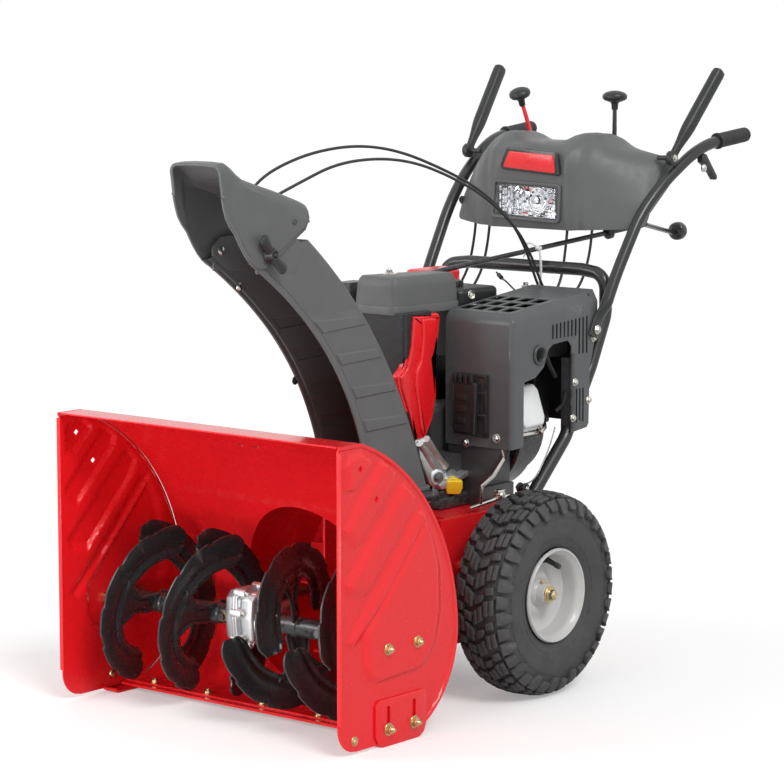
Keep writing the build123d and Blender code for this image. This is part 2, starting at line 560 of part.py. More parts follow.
# chute drive: crank rod -> closed case on a post -> pinion -> idler -> ring gear
ring_r = RING_MODULE * RING_TEETH / 2
idler_r = RING_MODULE * IDLER_TEETH / 2
pinion_r = RING_MODULE * PINION_TEETH / 2
ring_c = Vector(CHUTE_X, rear(CHUTE_REAR))
post_c = Vector(-98.8, rear(537.0))
ROD_Z0 = 731.0
between = (post_c - ring_c).length
toward = (post_c - ring_c).normalized()
reach_a = ring_r + idler_r
reach_b = idler_r + pinion_r
along = (reach_a ** 2 - reach_b ** 2 + between ** 2) / (2 * between)
aside = (reach_a ** 2 - along ** 2) ** 0.5
idler_c = ring_c + toward * along + Vector(-toward.Y, toward.X) * aside


def meshed(centre_a, phase_a, teeth_a, centre_b, teeth_b):
    """The turn of gear b that puts a gap of b opposite the tooth of a on the line of centres."""
    line = degrees(atan2(centre_b.Y - centre_a.Y, centre_b.X - centre_a.X))
    past = (phase_a - line) % (360 / teeth_a)
    return line + 180 + 180 / teeth_b - past * teeth_a / teeth_b


idler_phase = meshed(ring_c, 0, RING_TEETH, idler_c, IDLER_TEETH)
idler = Pos(idler_c.X, idler_c.Y, RING_Z + 0.5) * Rot(0, 0, idler_phase) * spur(
    IDLER_TEETH, RING_MODULE, TOOTH_FACE - 1.0, 6 + RUN)
parts["chute_idler"] = idler
pinion_phase = meshed(idler_c, idler_phase, IDLER_TEETH, post_c, PINION_TEETH)
pinion = Pos(post_c.X, post_c.Y, RING_Z + 0.5) * Rot(0, 0, pinion_phase) * spur(
    PINION_TEETH, RING_MODULE, TOOTH_FACE - 1.0, 0)
pinion = pinion + cyl_z(7, RING_Z - 10, ROD_Z0 - 12, post_c.X, post_c.Y)
parts["chute_pinion"] = pinion

base_z = FRAME_TOP_Z + 2.5
shelf_z = RING_Z - 11.0
shelf_x0, shelf_x1 = post_c.X - 26, -70.5
post = block(shelf_x0, idler_c.X + 14, idler_c.Y - 14, rear(501), shelf_z, shelf_z + 3.0)
post = post + block(shelf_x0, shelf_x1, rear(500), post_c.Y + 26, shelf_z, shelf_z + 3.0)
post = post + block(shelf_x0, shelf_x0 + 3, rear(502), post_c.Y + 26, base_z + 0.02, shelf_z + 1)
post = post + block(shelf_x0 - 16, shelf_x1, rear(502), post_c.Y + 26, base_z + 0.02, base_z + 3.0)
post = post + cyl_z(6, shelf_z, RING_Z + RING_GEAR_T, idler_c.X, idler_c.Y)
post = post + block(post_c.X - 12, post_c.X + 12, post_c.Y + 33, post_c.Y + 37, shelf_z, ROD_Z0 + 18)
post = post + block(post_c.X - 12, post_c.X + 12, post_c.Y + 20, post_c.Y + 37, shelf_z, shelf_z + 3)
post = post + block(post_c.X - 17, post_c.X + 17, post_c.Y - 16, post_c.Y + 37, ROD_Z0 - 20, ROD_Z0 + 18)
post = post - cyl_z(7 + RUN, base_z - 5, ROD_Z0 - 11, post_c.X, post_c.Y)
ROD_R = 5.0
rod_a = Vector(post_c.X, post_c.Y + 10, ROD_Z0)
rod_b = Vector(100, rear(1128), 820)
rod_dir = (rod_b - rod_a).normalized()
rod_c = rod_b + rod_dir * 78
post = post - rod(rod_a, rod_a + rod_dir * 60, ROD_R + RUN)
parts["chute_drive_post"] = post
crank = rod(rod_a, rod_c, ROD_R)
arm_end = Vector(70, rear(1380), 801)
crank = crank + rod(rod_c - rod_dir * 3, arm_end, ROD_R) + Pos(rod_c.X, rod_c.Y, rod_c.Z) * Sphere(ROD_R)
pin_end = Vector(67, rear(1420), 803)
crank = crank + rod(arm_end, pin_end, 4) + Pos(arm_end.X, arm_end.Y, arm_end.Z) * Sphere(ROD_R)
knob_plane = Plane(origin=(67.5, rear(1398), 802.5), z_dir=pin_end - arm_end)
knob = knob_plane * revolve(Plane.XZ * make_face(Polyline([(4.1, -6), (9, -6), (18, -2), (19, 6), (17.5, 15),
                                                          (12, 24), (4.1, 26)], close=True)), Axis.Z)
parts["crank_rod"] = Compound(children=[crank, knob])

# ================================ frame and drive ===========================================
frame = block(-FRAME_HALF, FRAME_HALF, rear(FRAME_FRONT), rear(FRAME_BACK), FRAME_BOTTOM_Z, FRAME_TOP_Z)
frame = frame - block(-FRAME_HALF + FRAME_T, FRAME_HALF - FRAME_T, rear(FRAME_FRONT + FRAME_T),
                      rear(FRAME_BACK - FRAME_T), FRAME_BOTTOM_Z + FRAME_T, FRAME_TOP_Z - FRAME_T)
frame = frame - block(-64, 64, rear(FRAME_FRONT + 14), rear(582), FRAME_TOP_Z - 10, FRAME_TOP_Z + 10)
frame = frame - block(-FRAME_HALF + 18, FRAME_HALF - 18, rear(FRAME_FRONT + 16), rear(FRAME_BACK - 16),
                      FRAME_BOTTOM_Z - 10, FRAME_BOTTOM_Z + 10)
for s in (-1, 1):
    frame = frame + block(s * (FRAME_HALF - FRAME_T), s * FRAME_HALF, rear(458), rear(FRAME_FRONT + 1), FRAME_BOTTOM_Z, FRAME_TOP_Z)
    frame = frame + block(s * (FRAME_HALF - 12), s * FRAME_HALF, rear(458), rear(FRAME_BACK), FRAME_TOP_Z - 0.5, FRAME_TOP_Z + 2.5)
    frame = frame + cyl_x(17, s * (FRAME_HALF - 4), s * (FRAME_HALF + 9), WHEEL_Y, AXLE_Z)
    frame = frame + cyl_x(15, s * (FRAME_HALF - 2), s * (FRAME_HALF + 8), rear(517), 237)
frame = frame - cyl_x(AXLE_R + RUN, -400, 400, WHEEL_Y, AXLE_Z)
drive_r = DRIVE_MODULE * (AXLE_TEETH + HEX_TEETH) / 2
HEX_Y = WHEEL_Y + 23.0
HEX_Z = AXLE_Z + (drive_r ** 2 - 23.0 ** 2) ** 0.5
frame = frame - cyl_x(8 + RUN, -400, 400, HEX_Y, HEX_Z)
frame = frame - cyl_y(IMPELLER_SHAFT_R + RUN, rear(450), rear(510), 0, IMPELLER_Z)
parts["frame"] = frame

GEAR_X = -130.0
axle = cyl_x(AXLE_R, -TRACK_HALF - 44, TRACK_HALF + 44, WHEEL_Y, AXLE_Z)
gear = Plane(origin=(GEAR_X, WHEEL_Y, AXLE_Z), x_dir=(0, 1, 0), z_dir=(1, 0, 0))
hex_angle = degrees(atan2(HEX_Z - AXLE_Z, HEX_Y - WHEEL_Y))
axle = axle + gear * Rot(0, 0, hex_angle) * spur(AXLE_TEETH, DRIVE_MODULE, 10, 0)
hex_shaft = cyl_x(8, -FRAME_HALF - 4, FRAME_HALF + 4, HEX_Y, HEX_Z)
hex_gear = Plane(origin=(GEAR_X - 1, HEX_Y, HEX_Z), x_dir=(0, 1, 0), z_dir=(1, 0, 0))
hex_shaft = hex_shaft + hex_gear * Rot(0, 0, hex_angle + 180 + 180 / HEX_TEETH) * spur(HEX_TEETH, DRIVE_MODULE, 12, 0)
parts["axle"] = axle
parts["hex_shaft"] = hex_shaft
FRICTION_X = 44.0
friction = cyl_x(FRICTION_R, FRICTION_X - 8, FRICTION_X + 8, HEX_Y, HEX_Z)
friction = friction - cyl_x(FRICTION_R - 12, FRICTION_X + 4, FRICTION_X + 9, HEX_Y, HEX_Z)
friction = friction - cyl_x(FRICTION_R - 12, FRICTION_X - 9, FRICTION_X - 4, HEX_Y, HEX_Z)
friction = friction + cyl_x(16, FRICTION_X - 16, FRICTION_X + 16, HEX_Y, HEX_Z)
parts["friction_wheel"] = friction - cyl_x(8 + RUN, -400, 400, HEX_Y, HEX_Z)
disc_y = HEX_Y - FRICTION_R - 1.0
disc = cyl_y(DISC_R, disc_y - 6, disc_y, 0, HEX_Z)
disc_pulley_y = rear(552)
disc = disc + pulley(DISC_PULLEY_R, disc_pulley_y, 12, 1, 0, HEX_Z)
disc = disc + cyl_y(9, rear(546), disc_y - 2, 0, HEX_Z)
parts["drive_disc"] = disc


def spin_x(points, x0):
    """Turn (along x, radius) points about the wheel axis."""
    face = make_face(Polyline([(x0 + a, 0, b) for a, b in points], close=True))
    body = revolve(face, Axis.X)
    return Pos(0, WHEEL_Y, AXLE_Z) * body


band = [(RIM_HALF, RIM_FLANGE_R), (RIM_HALF - 3, RIM_FLANGE_R + 1), (RIM_HALF - 9, RIM_BEAD_R),
        (14, RIM_BEAD_R), (0, RIM_BEAD_R - 8), (-14, RIM_BEAD_R)]
band = band + [(-RIM_HALF + 9, RIM_BEAD_R), (-RIM_HALF + 3, RIM_FLANGE_R + 1), (-RIM_HALF, RIM_FLANGE_R)]
band = band + [(-RIM_HALF + 5, RIM_BEAD_R - 3), (-16, RIM_BEAD_R - 3), (0, RIM_BEAD_R - 11), (16, RIM_BEAD_R - 3),
               (RIM_HALF - 5, RIM_BEAD_R - 3)]
dish = [(8, RIM_BEAD_R - 6.8), (0, RIM_BEAD_R - 11), (-8, 54), (-8, 30), (-2, HUB_R - 3), (2, HUB_R - 3), (-5, 32),
        (-5, 52), (6, RIM_BEAD_R - 11)]
rim = spin_x(band, TRACK_HALF) + spin_x(dish, TRACK_HALF)
rim = rim + cyl_x(HUB_R, TRACK_HALF - 68.5, TRACK_HALF + 32, WHEEL_Y, AXLE_Z)
rim = rim - cyl_x(AXLE_R + 0.02, 0, 400, WHEEL_Y, AXLE_Z)
rim = rim + rod((TRACK_HALF + 9, WHEEL_Y + 14, AXLE_Z + 66), (TRACK_HALF + 40, WHEEL_Y + 15, AXLE_Z + 56), 4.5)
rim = rim + cyl_z(4, AXLE_Z + HUB_R - 3, AXLE_Z + HUB_R + 8, TRACK_HALF + 18, WHEEL_Y)
tyre_r = TYRE_DIAMETER / 2
half_t = TYRE_WIDTH / 2
carcass = tyre_r - 11.0
core = half_t - 25.5
tyre_pts = [(half_t - 12, RIM_FLANGE_R + 1), (half_t - 4, 110), (half_t - 3, 135), (half_t - 10, 158),
            (half_t - 26, carcass - 3), (0, carcass), (-half_t + 26, carcass - 3), (-half_t + 10, 158),
            (-half_t + 3, 135), (-half_t + 4, 110), (-half_t + 12, RIM_FLANGE_R + 1),
            (-RIM_HALF + 9.6, RIM_BEAD_R + 0.5), (-core + 6, RIM_BEAD_R + 0.5), (-core, 100), (-core - 10, 130),
            (-core - 2, 156), (-core + 16, carcass - 14), (core - 16, carcass - 14), (core + 2, 156), (core + 10, 130),
            (core, 100), (core - 6, RIM_BEAD_R + 0.5),
            (RIM_HALF - 9.6, RIM_BEAD_R + 0.5)]
tyre = spin_x(tyre_pts, TRACK_HALF)
LUGS = 18
lug_outer = Pos(TRACK_HALF + half_t - 21.5, 0, tyre_r - 9) * Box(36, 24, 18)
lug_inner = Pos(TRACK_HALF + 9.4, 0, tyre_r - 9) * Rot(0, 0, 18) * Box(15, 26, 17.6)
lug_shoulder = Pos(TRACK_HALF + half_t - 9.5, 0, tyre_r - 24) * Rot(0, 28, 0) * Box(16, 22, 34)
lug_pair = lug_outer + lug_inner + lug_shoulder
lug_other = Rot(360 / LUGS / 2, 0, 0) * mirror(lug_pair, about=Plane.YZ.offset(TRACK_HALF))
trim = revolve(make_face(Polyline([(TRACK_HALF - half_t, 0, 60), (TRACK_HALF + half_t, 0, 60),
                                   (TRACK_HALF + half_t, 0, tyre_r - 20), (TRACK_HALF + half_t - 14, 0, tyre_r - 5),
                                   (TRACK_HALF + 20, 0, tyre_r), (TRACK_HALF - 20, 0, tyre_r),
                                   (TRACK_HALF - half_t + 14, 0, tyre_r - 5),
                                   (TRACK_HALF - half_t, 0, tyre_r - 20)], close=True)), Axis.X)
lugs = []
for k in range(LUGS):
    lugs.append(Rot(360 / LUGS * k, 0, 0) * lug_pair)
    lugs.append(Rot(360 / LUGS * k, 0, 0) * lug_other)
tread = lugs[0].fuse(*lugs[1:]) & trim
tyre = tyre + Pos(0, WHEEL_Y, AXLE_Z) * tread
parts["rim_right"] = rim
parts["tyre_right"] = tyre
parts["rim_left"] = mirror_x(rim)
parts["tyre_left"] = mirror_x(tyre)

# ================================ engine ====================================================
bf, bb = rear(BLOCK_FRONT), rear(BLOCK_BACK)
engine = block(-96, 96, bf, bb, 352, 427)
engine = engine + block(-96, 46, bf, bb, 352, CRANK_Z + 70) + block(40, 96, rear(658), bb, 352, CRANK_Z + 70)
engine = fillet(engine.edges().filter_by(Axis.Y).filter_by(lambda e: e.center().Z > 500), 12)
engine = engine + block(-110, 110, bf + 6, bb - 6, FRAME_TOP_Z + 2.6, 356)
cyl_dir = Vector(cos(radians(CYLINDER_TILT)), 0, sin(radians(CYLINDER_TILT)))
cyl_c = Vector(0, rear(734), CRANK_Z + 6)
bore_r = 35.0


def along_cylinder(d):
    return cyl_c + cyl_dir * d


cyl_plane = Plane(origin=along_cylinder(84), z_dir=cyl_dir, x_dir=(0, 1, 0))
engine = engine + cyl_plane * Pos(0, 0, 44) * Box(82, 88, 92)
for k in range(7):
    engine = engine + cyl_plane * Pos(0, 0, 20 + 10 * k) * Box(92, 108, 2.5)
port_dir = Vector(-cyl_dir.Z, 0, cyl_dir.X)
exhaust = along_cylinder(130) + port_dir * 44.05
engine = engine - rod(exhaust - port_dir * 0.03, exhaust + port_dir * 30, 13.4)
engine = engine - cyl_y(38, bf + 14, bb - 14, 0, CRANK_Z)
engine = engine - (Plane(origin=along_cylinder(20), z_dir=cyl_dir) * Pos(0, 0, 62) * Cylinder(bore_r, 124))
engine = engine - cyl_y(CRANK_R + RUN, bf - 5, bb + 5, 0, CRANK_Z)
fill_a = Vector(92, rear(604), 380)
fill_b = Vector(112, rear(590), 372)
fill_dir = (fill_b - fill_a).normalized()
engine = engine + rod(fill_a - fill_dir * 8, fill_b, 15)
engine = engine - rod(fill_a, fill_b + fill_dir * 5, 9)
parts["engine_block"] = engine
cap_plane = Plane(origin=fill_b, z_dir=fill_dir, x_dir=(0, 0, 1))
dip = cap_plane * Pos(0, 0, 7.02) * Cylinder(13, 14) + cap_plane * Pos(0, 0, 17) * Box(24, 7, 8)
dip = dip + cap_plane * Pos(0, 0, -9) * Cylinder(9 - RUN, 18.2)
parts["dipstick"] = dip

head_plane = Plane(origin=along_cylinder(84 + 90.02), z_dir=cyl_dir, x_dir=(0, 1, 0))
rocker = head_plane * Pos(0, 0, 13) * Box(74, 84, 26)
rocker = fillet(rocker.edges().filter_by(lambda e: abs(e.length - 26) < 0.5), 14)
rocker = rocker + head_plane * Pos(0, 0, 2) * Box(84, 92, 4)
parts["rocker_cover"] = rocker

crank = cyl_y(CRANK_R, rear(522), rear(848), 0, CRANK_Z)
crank = crank + pulley(CRANK_PULLEY_R, rear(PULLEY_REAR), 14, 1, 0, CRANK_Z)
crank = crank + pulley(CRANK_PULLEY_R - 4, disc_pulley_y, 12, 1, 0, CRANK_Z)
crank = crank + cyl_y(34, rear(716), rear(727), 0, CRANK_Z) + cyl_y(34, rear(741), rear(752), 0, CRANK_Z)
crank = crank + cyl_y(FLYWHEEL_R, rear(806), rear(830), 0, CRANK_Z)
crank = crank + cyl_y(40, rear(829), rear(842), 0, CRANK_Z)
for k in range(16):
    vane = Pos(0, rear(836), CRANK_Z) * Rot(0, 22.5 * k, 0) * Pos(0, 0, 66) * Rot(0, 24, 0) * Box(3, 14, 44)
    crank = crank + vane
parts["crankshaft"] = crank


def belt(y, z0, r0, z1, r1, w, t):
    """An open belt loop between two pulleys on the middle plane."""
    d = z1 - z0
    a = degrees(atan2((r0 - r1), (d ** 2 - (r0 - r1) ** 2) ** 0.5))

    def loop(grow):
        p = Circle(r0 + grow) + Pos(0, d) * Circle(r1 + grow)
        sx, sy = cos(radians(a)), sin(radians(a))
        quad = [((r0 + grow) * sx, (r0 + grow) * sy), ((r1 + grow) * sx, d + (r1 + grow) * sy),
                (-(r1 + grow) * sx, d + (r1 + grow) * sy), (-(r0 + grow) * sx, (r0 + grow) * sy)]
        return p + make_face(Polyline(quad, close=True))

    plane = Plane(origin=(0, y + w / 2, z0), x_dir=(1, 0, 0), z_dir=(0, -1, 0))
    return plane * extrude(loop(t) - loop(0), w)


belt_depth = 8.6
belts = [belt(rear(PULLEY_REAR), IMPELLER_Z, AUGER_PULLEY_R - belt_depth, CRANK_Z, CRANK_PULLEY_R - belt_depth, 3.2, 9),
         belt(disc_pulley_y, HEX_Z, DISC_PULLEY_R - belt_depth, CRANK_Z, CRANK_PULLEY_R - 4 - belt_depth, 3.2, 9)]
parts["drive_belts"] = Compound(children=belts)

# covers
cover_pts = [(-66, rear(508)), (46, rear(508)), (58, rear(690)), (-22, rear(690))]
cover_face = make_face(Polyline([(a, b, 700) for a, b in cover_pts], close=True))
intake = extrude(cover_face, 70, dir=(0, 0, 1))
intake = fillet(intake.edges().filter_by(Axis.Z), 12)
intake = fillet(intake.edges().group_by(Axis.Z)[-1], 16)
intake_in = extrude(offset(cover_face, -4), 64, dir=(0, 0, 1))
intake = intake - Pos(0, 0, -2) * intake_in
intake = intake + cyl_z(9, 768, 773, -22, rear(568))
parts["intake_cover"] = intake

COVER_FRONT = 510.0
COVER_BOTTOM_Z = RING_Z + RING_GEAR_T + 5.0
belt_cover = block(-66, 62, rear(COVER_FRONT), bf - 0.02, COVER_BOTTOM_Z, 699.98)
belt_cover = fillet(belt_cover.edges().filter_by(Axis.Z).group_by(Axis.Y)[0], 8)
belt_cover = belt_cover - block(-63, 59, rear(COVER_FRONT + 3), bf + 10, COVER_BOTTOM_Z - 10, 696)
parts["belt_cover"] = belt_cover

cowl_pts = [(521, 696), (612, 688), (600, 626), (586, 614), (596, 575), (598, 540), (586, 494), (556, 452),
            (540, 440), (524, 474), (512, 508), (488, 560), (486, 586), (506, 600), (519, 640)]
cowl = extrude_x(side_face([(a + 4, b) for a, b in cowl_pts]), 62.02, 67)
shroud_y0, shroud_y1 = rear(794), rear(856)
shroud = cyl_y(118, shroud_y0, shroud_y1, 0, CRANK_Z + 4) - cyl_y(112, shroud_y0 - 1, shroud_y1 - 4, 0, CRANK_Z + 4)
shroud = shroud + cyl_y(118, bb + 0.02, shroud_y0 + 1, 0, CRANK_Z + 4) - cyl_y(60, bb - 5, shroud_y0 + 5, 0, CRANK_Z + 4)
shroud = shroud - cyl_y(74, shroud_y1 - 10, shroud_y1 + 10, 0, CRANK_Z + 4)
shroud = shroud - block(-130, 130, bb - 5, shroud_y1 + 5, 300, 352)
top_cowl = block(-126, -70.2, rear(736), rear(850), 640, 758)
top_cowl = fillet(top_cowl.edges().group_by(Axis.Z)[-1], 12)
top_cowl = top_cowl - block(-122, -76, rear(740), rear(846), 600, 753)
parts["engine_cowl"] = Compound(children=[cowl, shroud, top_cowl])

tank = block(-70, 44, rear(700), rear(824), 600, 730)
tank = fillet(tank.edges().filter_by(Axis.Z), 16)
tank = fillet(tank.edges().group_by(Axis.Z)[-1], 10)
tank = tank - block(-65, 39, rear(706), rear(818), 606, 724)
cap_x, cap_y = -22.0, rear(752)
tank = tank - cyl_z(17, 720, 760, cap_x, cap_y)
for tx in (-30, 32):
    tank = tank + block(tx - 2, tx + 2, rear(712), rear(780), CRANK_Z + 70.02, 602)
parts["fuel_tank"] = tank
cap = cyl_z(24, 730.1, 741, cap_x, cap_y) + cyl_z(17 - RUN, 724, 731, cap_x, cap_y)
for k in range(12):
    cap = cap + Pos(cap_x, cap_y, 735.6) * Rot(0, 0, 30 * k) * Pos(24, 0, 0) * Box(3, 5, 10)
parts["fuel_cap"] = cap

recoil = cyl_y(96, rear(856.1), rear(900), 0, CRANK_Z + 4) - cyl_y(91, rear(850), rear(896), 0, CRANK_Z + 4)
for k in range(10):
    recoil = recoil - Pos(0, rear(898), CRANK_Z + 4) * Rot(0, 36 * k, 0) * Pos(0, 0, 64) * Box(9, 20, 40)
recoil = recoil + block(-118, -80, rear(862), rear(892), CRANK_Z + 30, CRANK_Z + 62)
recoil = recoil - cyl_x(3 + RUN, -160, -60, rear(877), CRANK_Z + 46)
parts["recoil_housing"] = recoil
pull = cyl_x(3, -122, -86, rear(877), CRANK_Z + 46) + Pos(-129, rear(877), CRANK_Z + 46) * Box(14, 22, 78)
parts["recoil_handle"] = fillet(pull.edges().filter_by(Axis.Y).group_by(Axis.X)[0], 4)

sx0, sx1 = SHIELD_X
sy0, sy1 = rear(SHIELD_REAR[0]), rear(SHIELD_REAR[1])
sz0, sz1 = SHIELD_Z
shield_outline = [(SHIELD_REAR[0], sz0), (SHIELD_REAR[0], sz1 - 2), (SHIELD_REAR[0] + 14, sz1 + 12.5),
                  (SHIELD_REAR[1], sz1 + 40), (SHIELD_REAR[1] - 6, sz1 - 50), (SHIELD_REAR[1] - 24, sz1 - 110),
                  (SHIELD_REAR[1] - 26, 470), (SHIELD_REAR[1] - 32, 462), (SHIELD_REAR[1] - 88, 456)]
shield = extrude_x(side_face(shield_outline), sx0, sx1)
inside = [(SHIELD_REAR[0] + SHIELD_T, sz0 - 60), (SHIELD_REAR[0] + SHIELD_T, sz1 - 4),
          (SHIELD_REAR[0] + 15, sz1 + 12.5 - SHIELD_T), (SHIELD_REAR[1] + 20, sz1 + 41 - SHIELD_T), (SHIELD_REAR[1] + 20, sz0 - 60)]
shield = shield - extrude_x(side_face(inside), sx0 - 5, sx1 - SHIELD_T)
window = side_face([(673, 420), (673, 568), (709, 574), (736, 592), (750, 624), (764, 632), (812, 636), (824, 624),
                    (824, 400)])
shield = shield - extrude_x(window, sx1 - 10, sx1 + 10)
for k in range(10):
    low = 642 if k < 7 else 606
    high = 670 + 0.9 * k
    y = rear(764 + 12.2 * k)
    shield = shield - block(sx1 - 8, sx1 + 8, y - 2.6, y + 2.6, low, high)
for k in range(3):
    y = rear(842 + 10.5 * k)
    shield = shield - block(sx1 - 8, sx1 + 8, y - 2.4, y + 2.4, 474, 540)
for i in range(4):
    for k in range(3):
        x = 77 + 33.5 * i
        y = rear(681 + 46 * k)
        shield = shield - block(x - 13, x + 13, y - 17, y + 17, sz1 - 20, sz1 + 60)
shield = shield + cyl_x(20, sx1 - 1, sx1 + 5, rear(721), 616) - cyl_x(14, sx1 - 8, sx1 + 8, rear(721), 616)
port = [(84, 472), (84, 584), (162, 590), (162, 550), (148, 542), (148, 472)]
port_face = front_face(port)
shield = shield - extrude_y(port_face, sy0 - 5, sy0 + 6)
leg = side_face([(SHIELD_REAR[0], 470), (SHIELD_REAR[0], 440), (660, 400), (660, FRAME_TOP_Z + 2.6), (680, FRAME_TOP_Z + 2.6),
                 (680, 400), (680, 440), (680, 455), (SHIELD_REAR[0] + 8, 455)])
shield = shield + extrude_x(leg, 112, 116) + block(sx0 + 10, 116, sy0, sy0 + SHIELD_T, 432, 460)
parts["muffler_shield"] = shield

muffler = block(74, 190, rear(652), rear(726), 588, 664)
muffler = fillet(muffler.edges(), 10)
grille = block(78, 166, rear(640), rear(646), 466, 594)
muffler = muffler + block(98, 146, rear(645), rear(676), 500, 594) + grille
for k in range(3):
    muffler = muffler - block(94, 128, rear(638), rear(642.5), 492 + 30 * k, 508 + 30 * k)
muffler = muffler + rod(exhaust, exhaust + port_dir * 70, 13)
parts["muffler"] = muffler

# ================================ handles ===================================================


def pipe(points, r, bend):
    line = FilletPolyline(*points, radius=bend)
    plane = Plane(origin=line.position_at(0), z_dir=line.tangent_at(0))
    return sweep(plane * Circle(r), path=line)


low = [(203.2, rear(652), 262), (203.2, rear(704), 334), (200.6, rear(826), 445), (200.6, rear(910), 578),
       (200.6, rear(957), 672), (200, rear(958), 750), (140, rear(962), 757)]
full = low + [(-a, b, c) for a, b, c in reversed(low)]
lower_handle = pipe(full, TUBE_R, [26, 60, 80, 60, 34, 34, 34, 34, 60, 80, 60, 26])
parts["lower_handle"] = lower_handle

UP_X = 228.6
up = [(UP_X, rear(890), 636), (UP_X, rear(940), 736), (236, rear(1018), 862), (246, rear(1080), 922),
      (262, rear(1190), 994), (268, rear(1340), 1010)]


def upper(points):
    return pipe(points, TUBE_R - 1.2, [60, 60, 60, 50])


right_up = upper(up)
parts["upper_handles"] = Compound(children=[right_up, mirror_x(right_up)])
grip_dir = Vector(*up[5]) - Vector(*up[4])
g0 = Vector(*up[4]) + grip_dir * 0.36
g1 = Vector(*up[5]) + grip_dir * 0.03
grip = rod(tuple(g0), tuple(g1), GRIP_R + 1) - rod(tuple(g0), tuple(Vector(*up[5]) + grip_dir * 0.001), TUBE_R - 1.2 + 0.02)
parts["grips"] = Compound(children=[grip, mirror_x(grip)])

# ================================ console ===================================================
plan = [(-104, 975), (104, 975), (226, 1030), (228, 1150), (150, 1185), (-150, 1185), (-228, 1150), (-226, 1030)]
low_plan = [(-104, 984), (104, 984), (224, 1040), (226, 1150), (150, 1180), (-150, 1180), (-226, 1150), (-224, 1040)]


def ring_at(points, z, dz):
    return Polyline([(a, rear(b), z + dz * (b - 975) / 200) for a, b in points], close=True)


side_cut = side_face([(960, 846), (975, 826), (1035, 868), (1130, 905), (1200, 915), (1200, 965), (1150, 985), (1100, 1000),
                      (1020, 1002), (988, 990), (972, 960)])
console = extrude_x(side_cut, -227, 227)
plan_face = make_face(Polyline([(a, rear(b), 780) for a, b in plan], close=True))
console = console & extrude(plan_face, 260, dir=(0, 0, 1))
for s in (-1, 1):
    dome = Pos(s * 95, rear(1112), 960) * Rot(0, 90, 0) * Cylinder(58, 118)
    dome = dome & block(-200, 200, rear(1020), rear(1170), 960, 1060)
    console = console + dome
hollow_side = side_face([(980, 800), (979, 940), (992, 982), (1022, 994), (1096, 992), (1146, 977), (1184, 960), (1184, 800)])
hollow = extrude_x(hollow_side, -222, 222) & extrude(make_face(Polyline([(a * 0.975, rear(1075 + (b - 1075) * 0.96), 780)
                                                                      for a, b in plan], close=True)), 260, dir=(0, 0, 1))
console = console - hollow
lamp_pts = [(-70, 858), (64, 850), (68, 910), (-70, 914)]
console = console - extrude_y(front_face([(-72, 850), (64, 850), (68, 912), (-72, 912)]), rear(940), rear(992))
for s in (-1, 1):
    for ex in (-18, 18):
        console = console + block(s * 95 + ex - 2, s * 95 + ex + 2, rear(1117), rear(1147), 918, 988)
shelf = block(-222, 222, rear(1034), rear(1070), 884, 887)
console = console + (shelf & extrude_x(side_cut, -226, 226))
for sx in (-101, 95):
    console = console - block(sx - 11, sx + 11, rear(1048), rear(1172), 940, 1060)
parts["console"] = console
lamp = extrude_y(front_face([(-78, 845), (70, 845), (74, 917), (-78, 917)]), rear(980.1), rear(1006))
lamp = lamp - extrude_y(front_face([(-68, 854), (60, 854), (64, 908), (-68, 908)]), rear(970), rear(1000))
parts["headlamp"] = lamp
lens = extrude_y(front_face([(-71.7, 850.3), (63.7, 850.3), (67.7, 911.7), (-71.7, 911.7)]), rear(971), rear(980))
lens = lens + extrude_y(front_face([(-66, 856), (58, 856), (62, 906), (-66, 906)]), rear(979), rear(986))
parts["headlamp_lens"] = lens


def paddle(points, w, t):
    """A hand lever: flat bars joined end to end with round joints."""
    body = None
    for p, q in zip(points[:-1], points[1:]):
        piece = bar(p, q, t, w, (1, 0, 0))
        body = piece if body is None else body + piece
    return body


LEVER_PIVOT = (252.0, rear(1103), 972.0)
LEVER_TIP = (272.0, rear(1234), 1135.0)
lp, lt = Vector(*LEVER_PIVOT), Vector(*LEVER_TIP)
lever_dir = (lt - lp).normalized()
lever = rod(tuple(lp + lever_dir * 16), tuple(lt), 12.0) + Pos(*tuple(lt)) * Sphere(12.0)
lever = lever + bar(tuple(lp), tuple(lp + lever_dir * 30), 10, 24, (1, 0, 0.2))
lever = lever + cyl_x(12, 247, 257, LEVER_PIVOT[1], LEVER_PIVOT[2]) + cyl_x(5, 218, 250, LEVER_PIVOT[1], LEVER_PIVOT[2])
parts["drive_lever"] = lever
parts["auger_lever"] = mirror_x(lever)
console = console - cyl_x(5 + RUN, -400, 400, LEVER_PIVOT[1], LEVER_PIVOT[2])
parts["console"] = console

TRIG_PIVOT = (263.0, rear(1196), 968.0)
trig = side_face([(1188, 974), (1198, 976), (1206, 966), (1226, 948), (1240, 932), (1236, 926), (1226, 934), (1196, 956), (1186, 962)])
trig = extrude_x(trig, TRIG_PIVOT[0] - 7, TRIG_PIVOT[0] + 7)
trig = trig - cyl_x(3.5 + RUN, 0, 400, TRIG_PIVOT[1], TRIG_PIVOT[2])
parts["trigger_right"] = trig
parts["trigger_left"] = mirror_x(trig)
clevis = block(TRIG_PIVOT[0] - 11, TRIG_PIVOT[0] + 11, rear(1182), rear(1206), 958, 984)
clevis = clevis - block(TRIG_PIVOT[0] - 7.4, TRIG_PIVOT[0] + 7.4, rear(1170), rear(1220), 950, 979)
clevis = clevis + cyl_x(3.5, TRIG_PIVOT[0] - 14, TRIG_PIVOT[0] + 14, TRIG_PIVOT[1], TRIG_PIVOT[2])
right_up = right_up + clevis
parts["upper_handles"] = Compound(children=[right_up, mirror_x(right_up)])

SEL_Z = 930.0
SEL_PIVOT_Y = rear(1132)


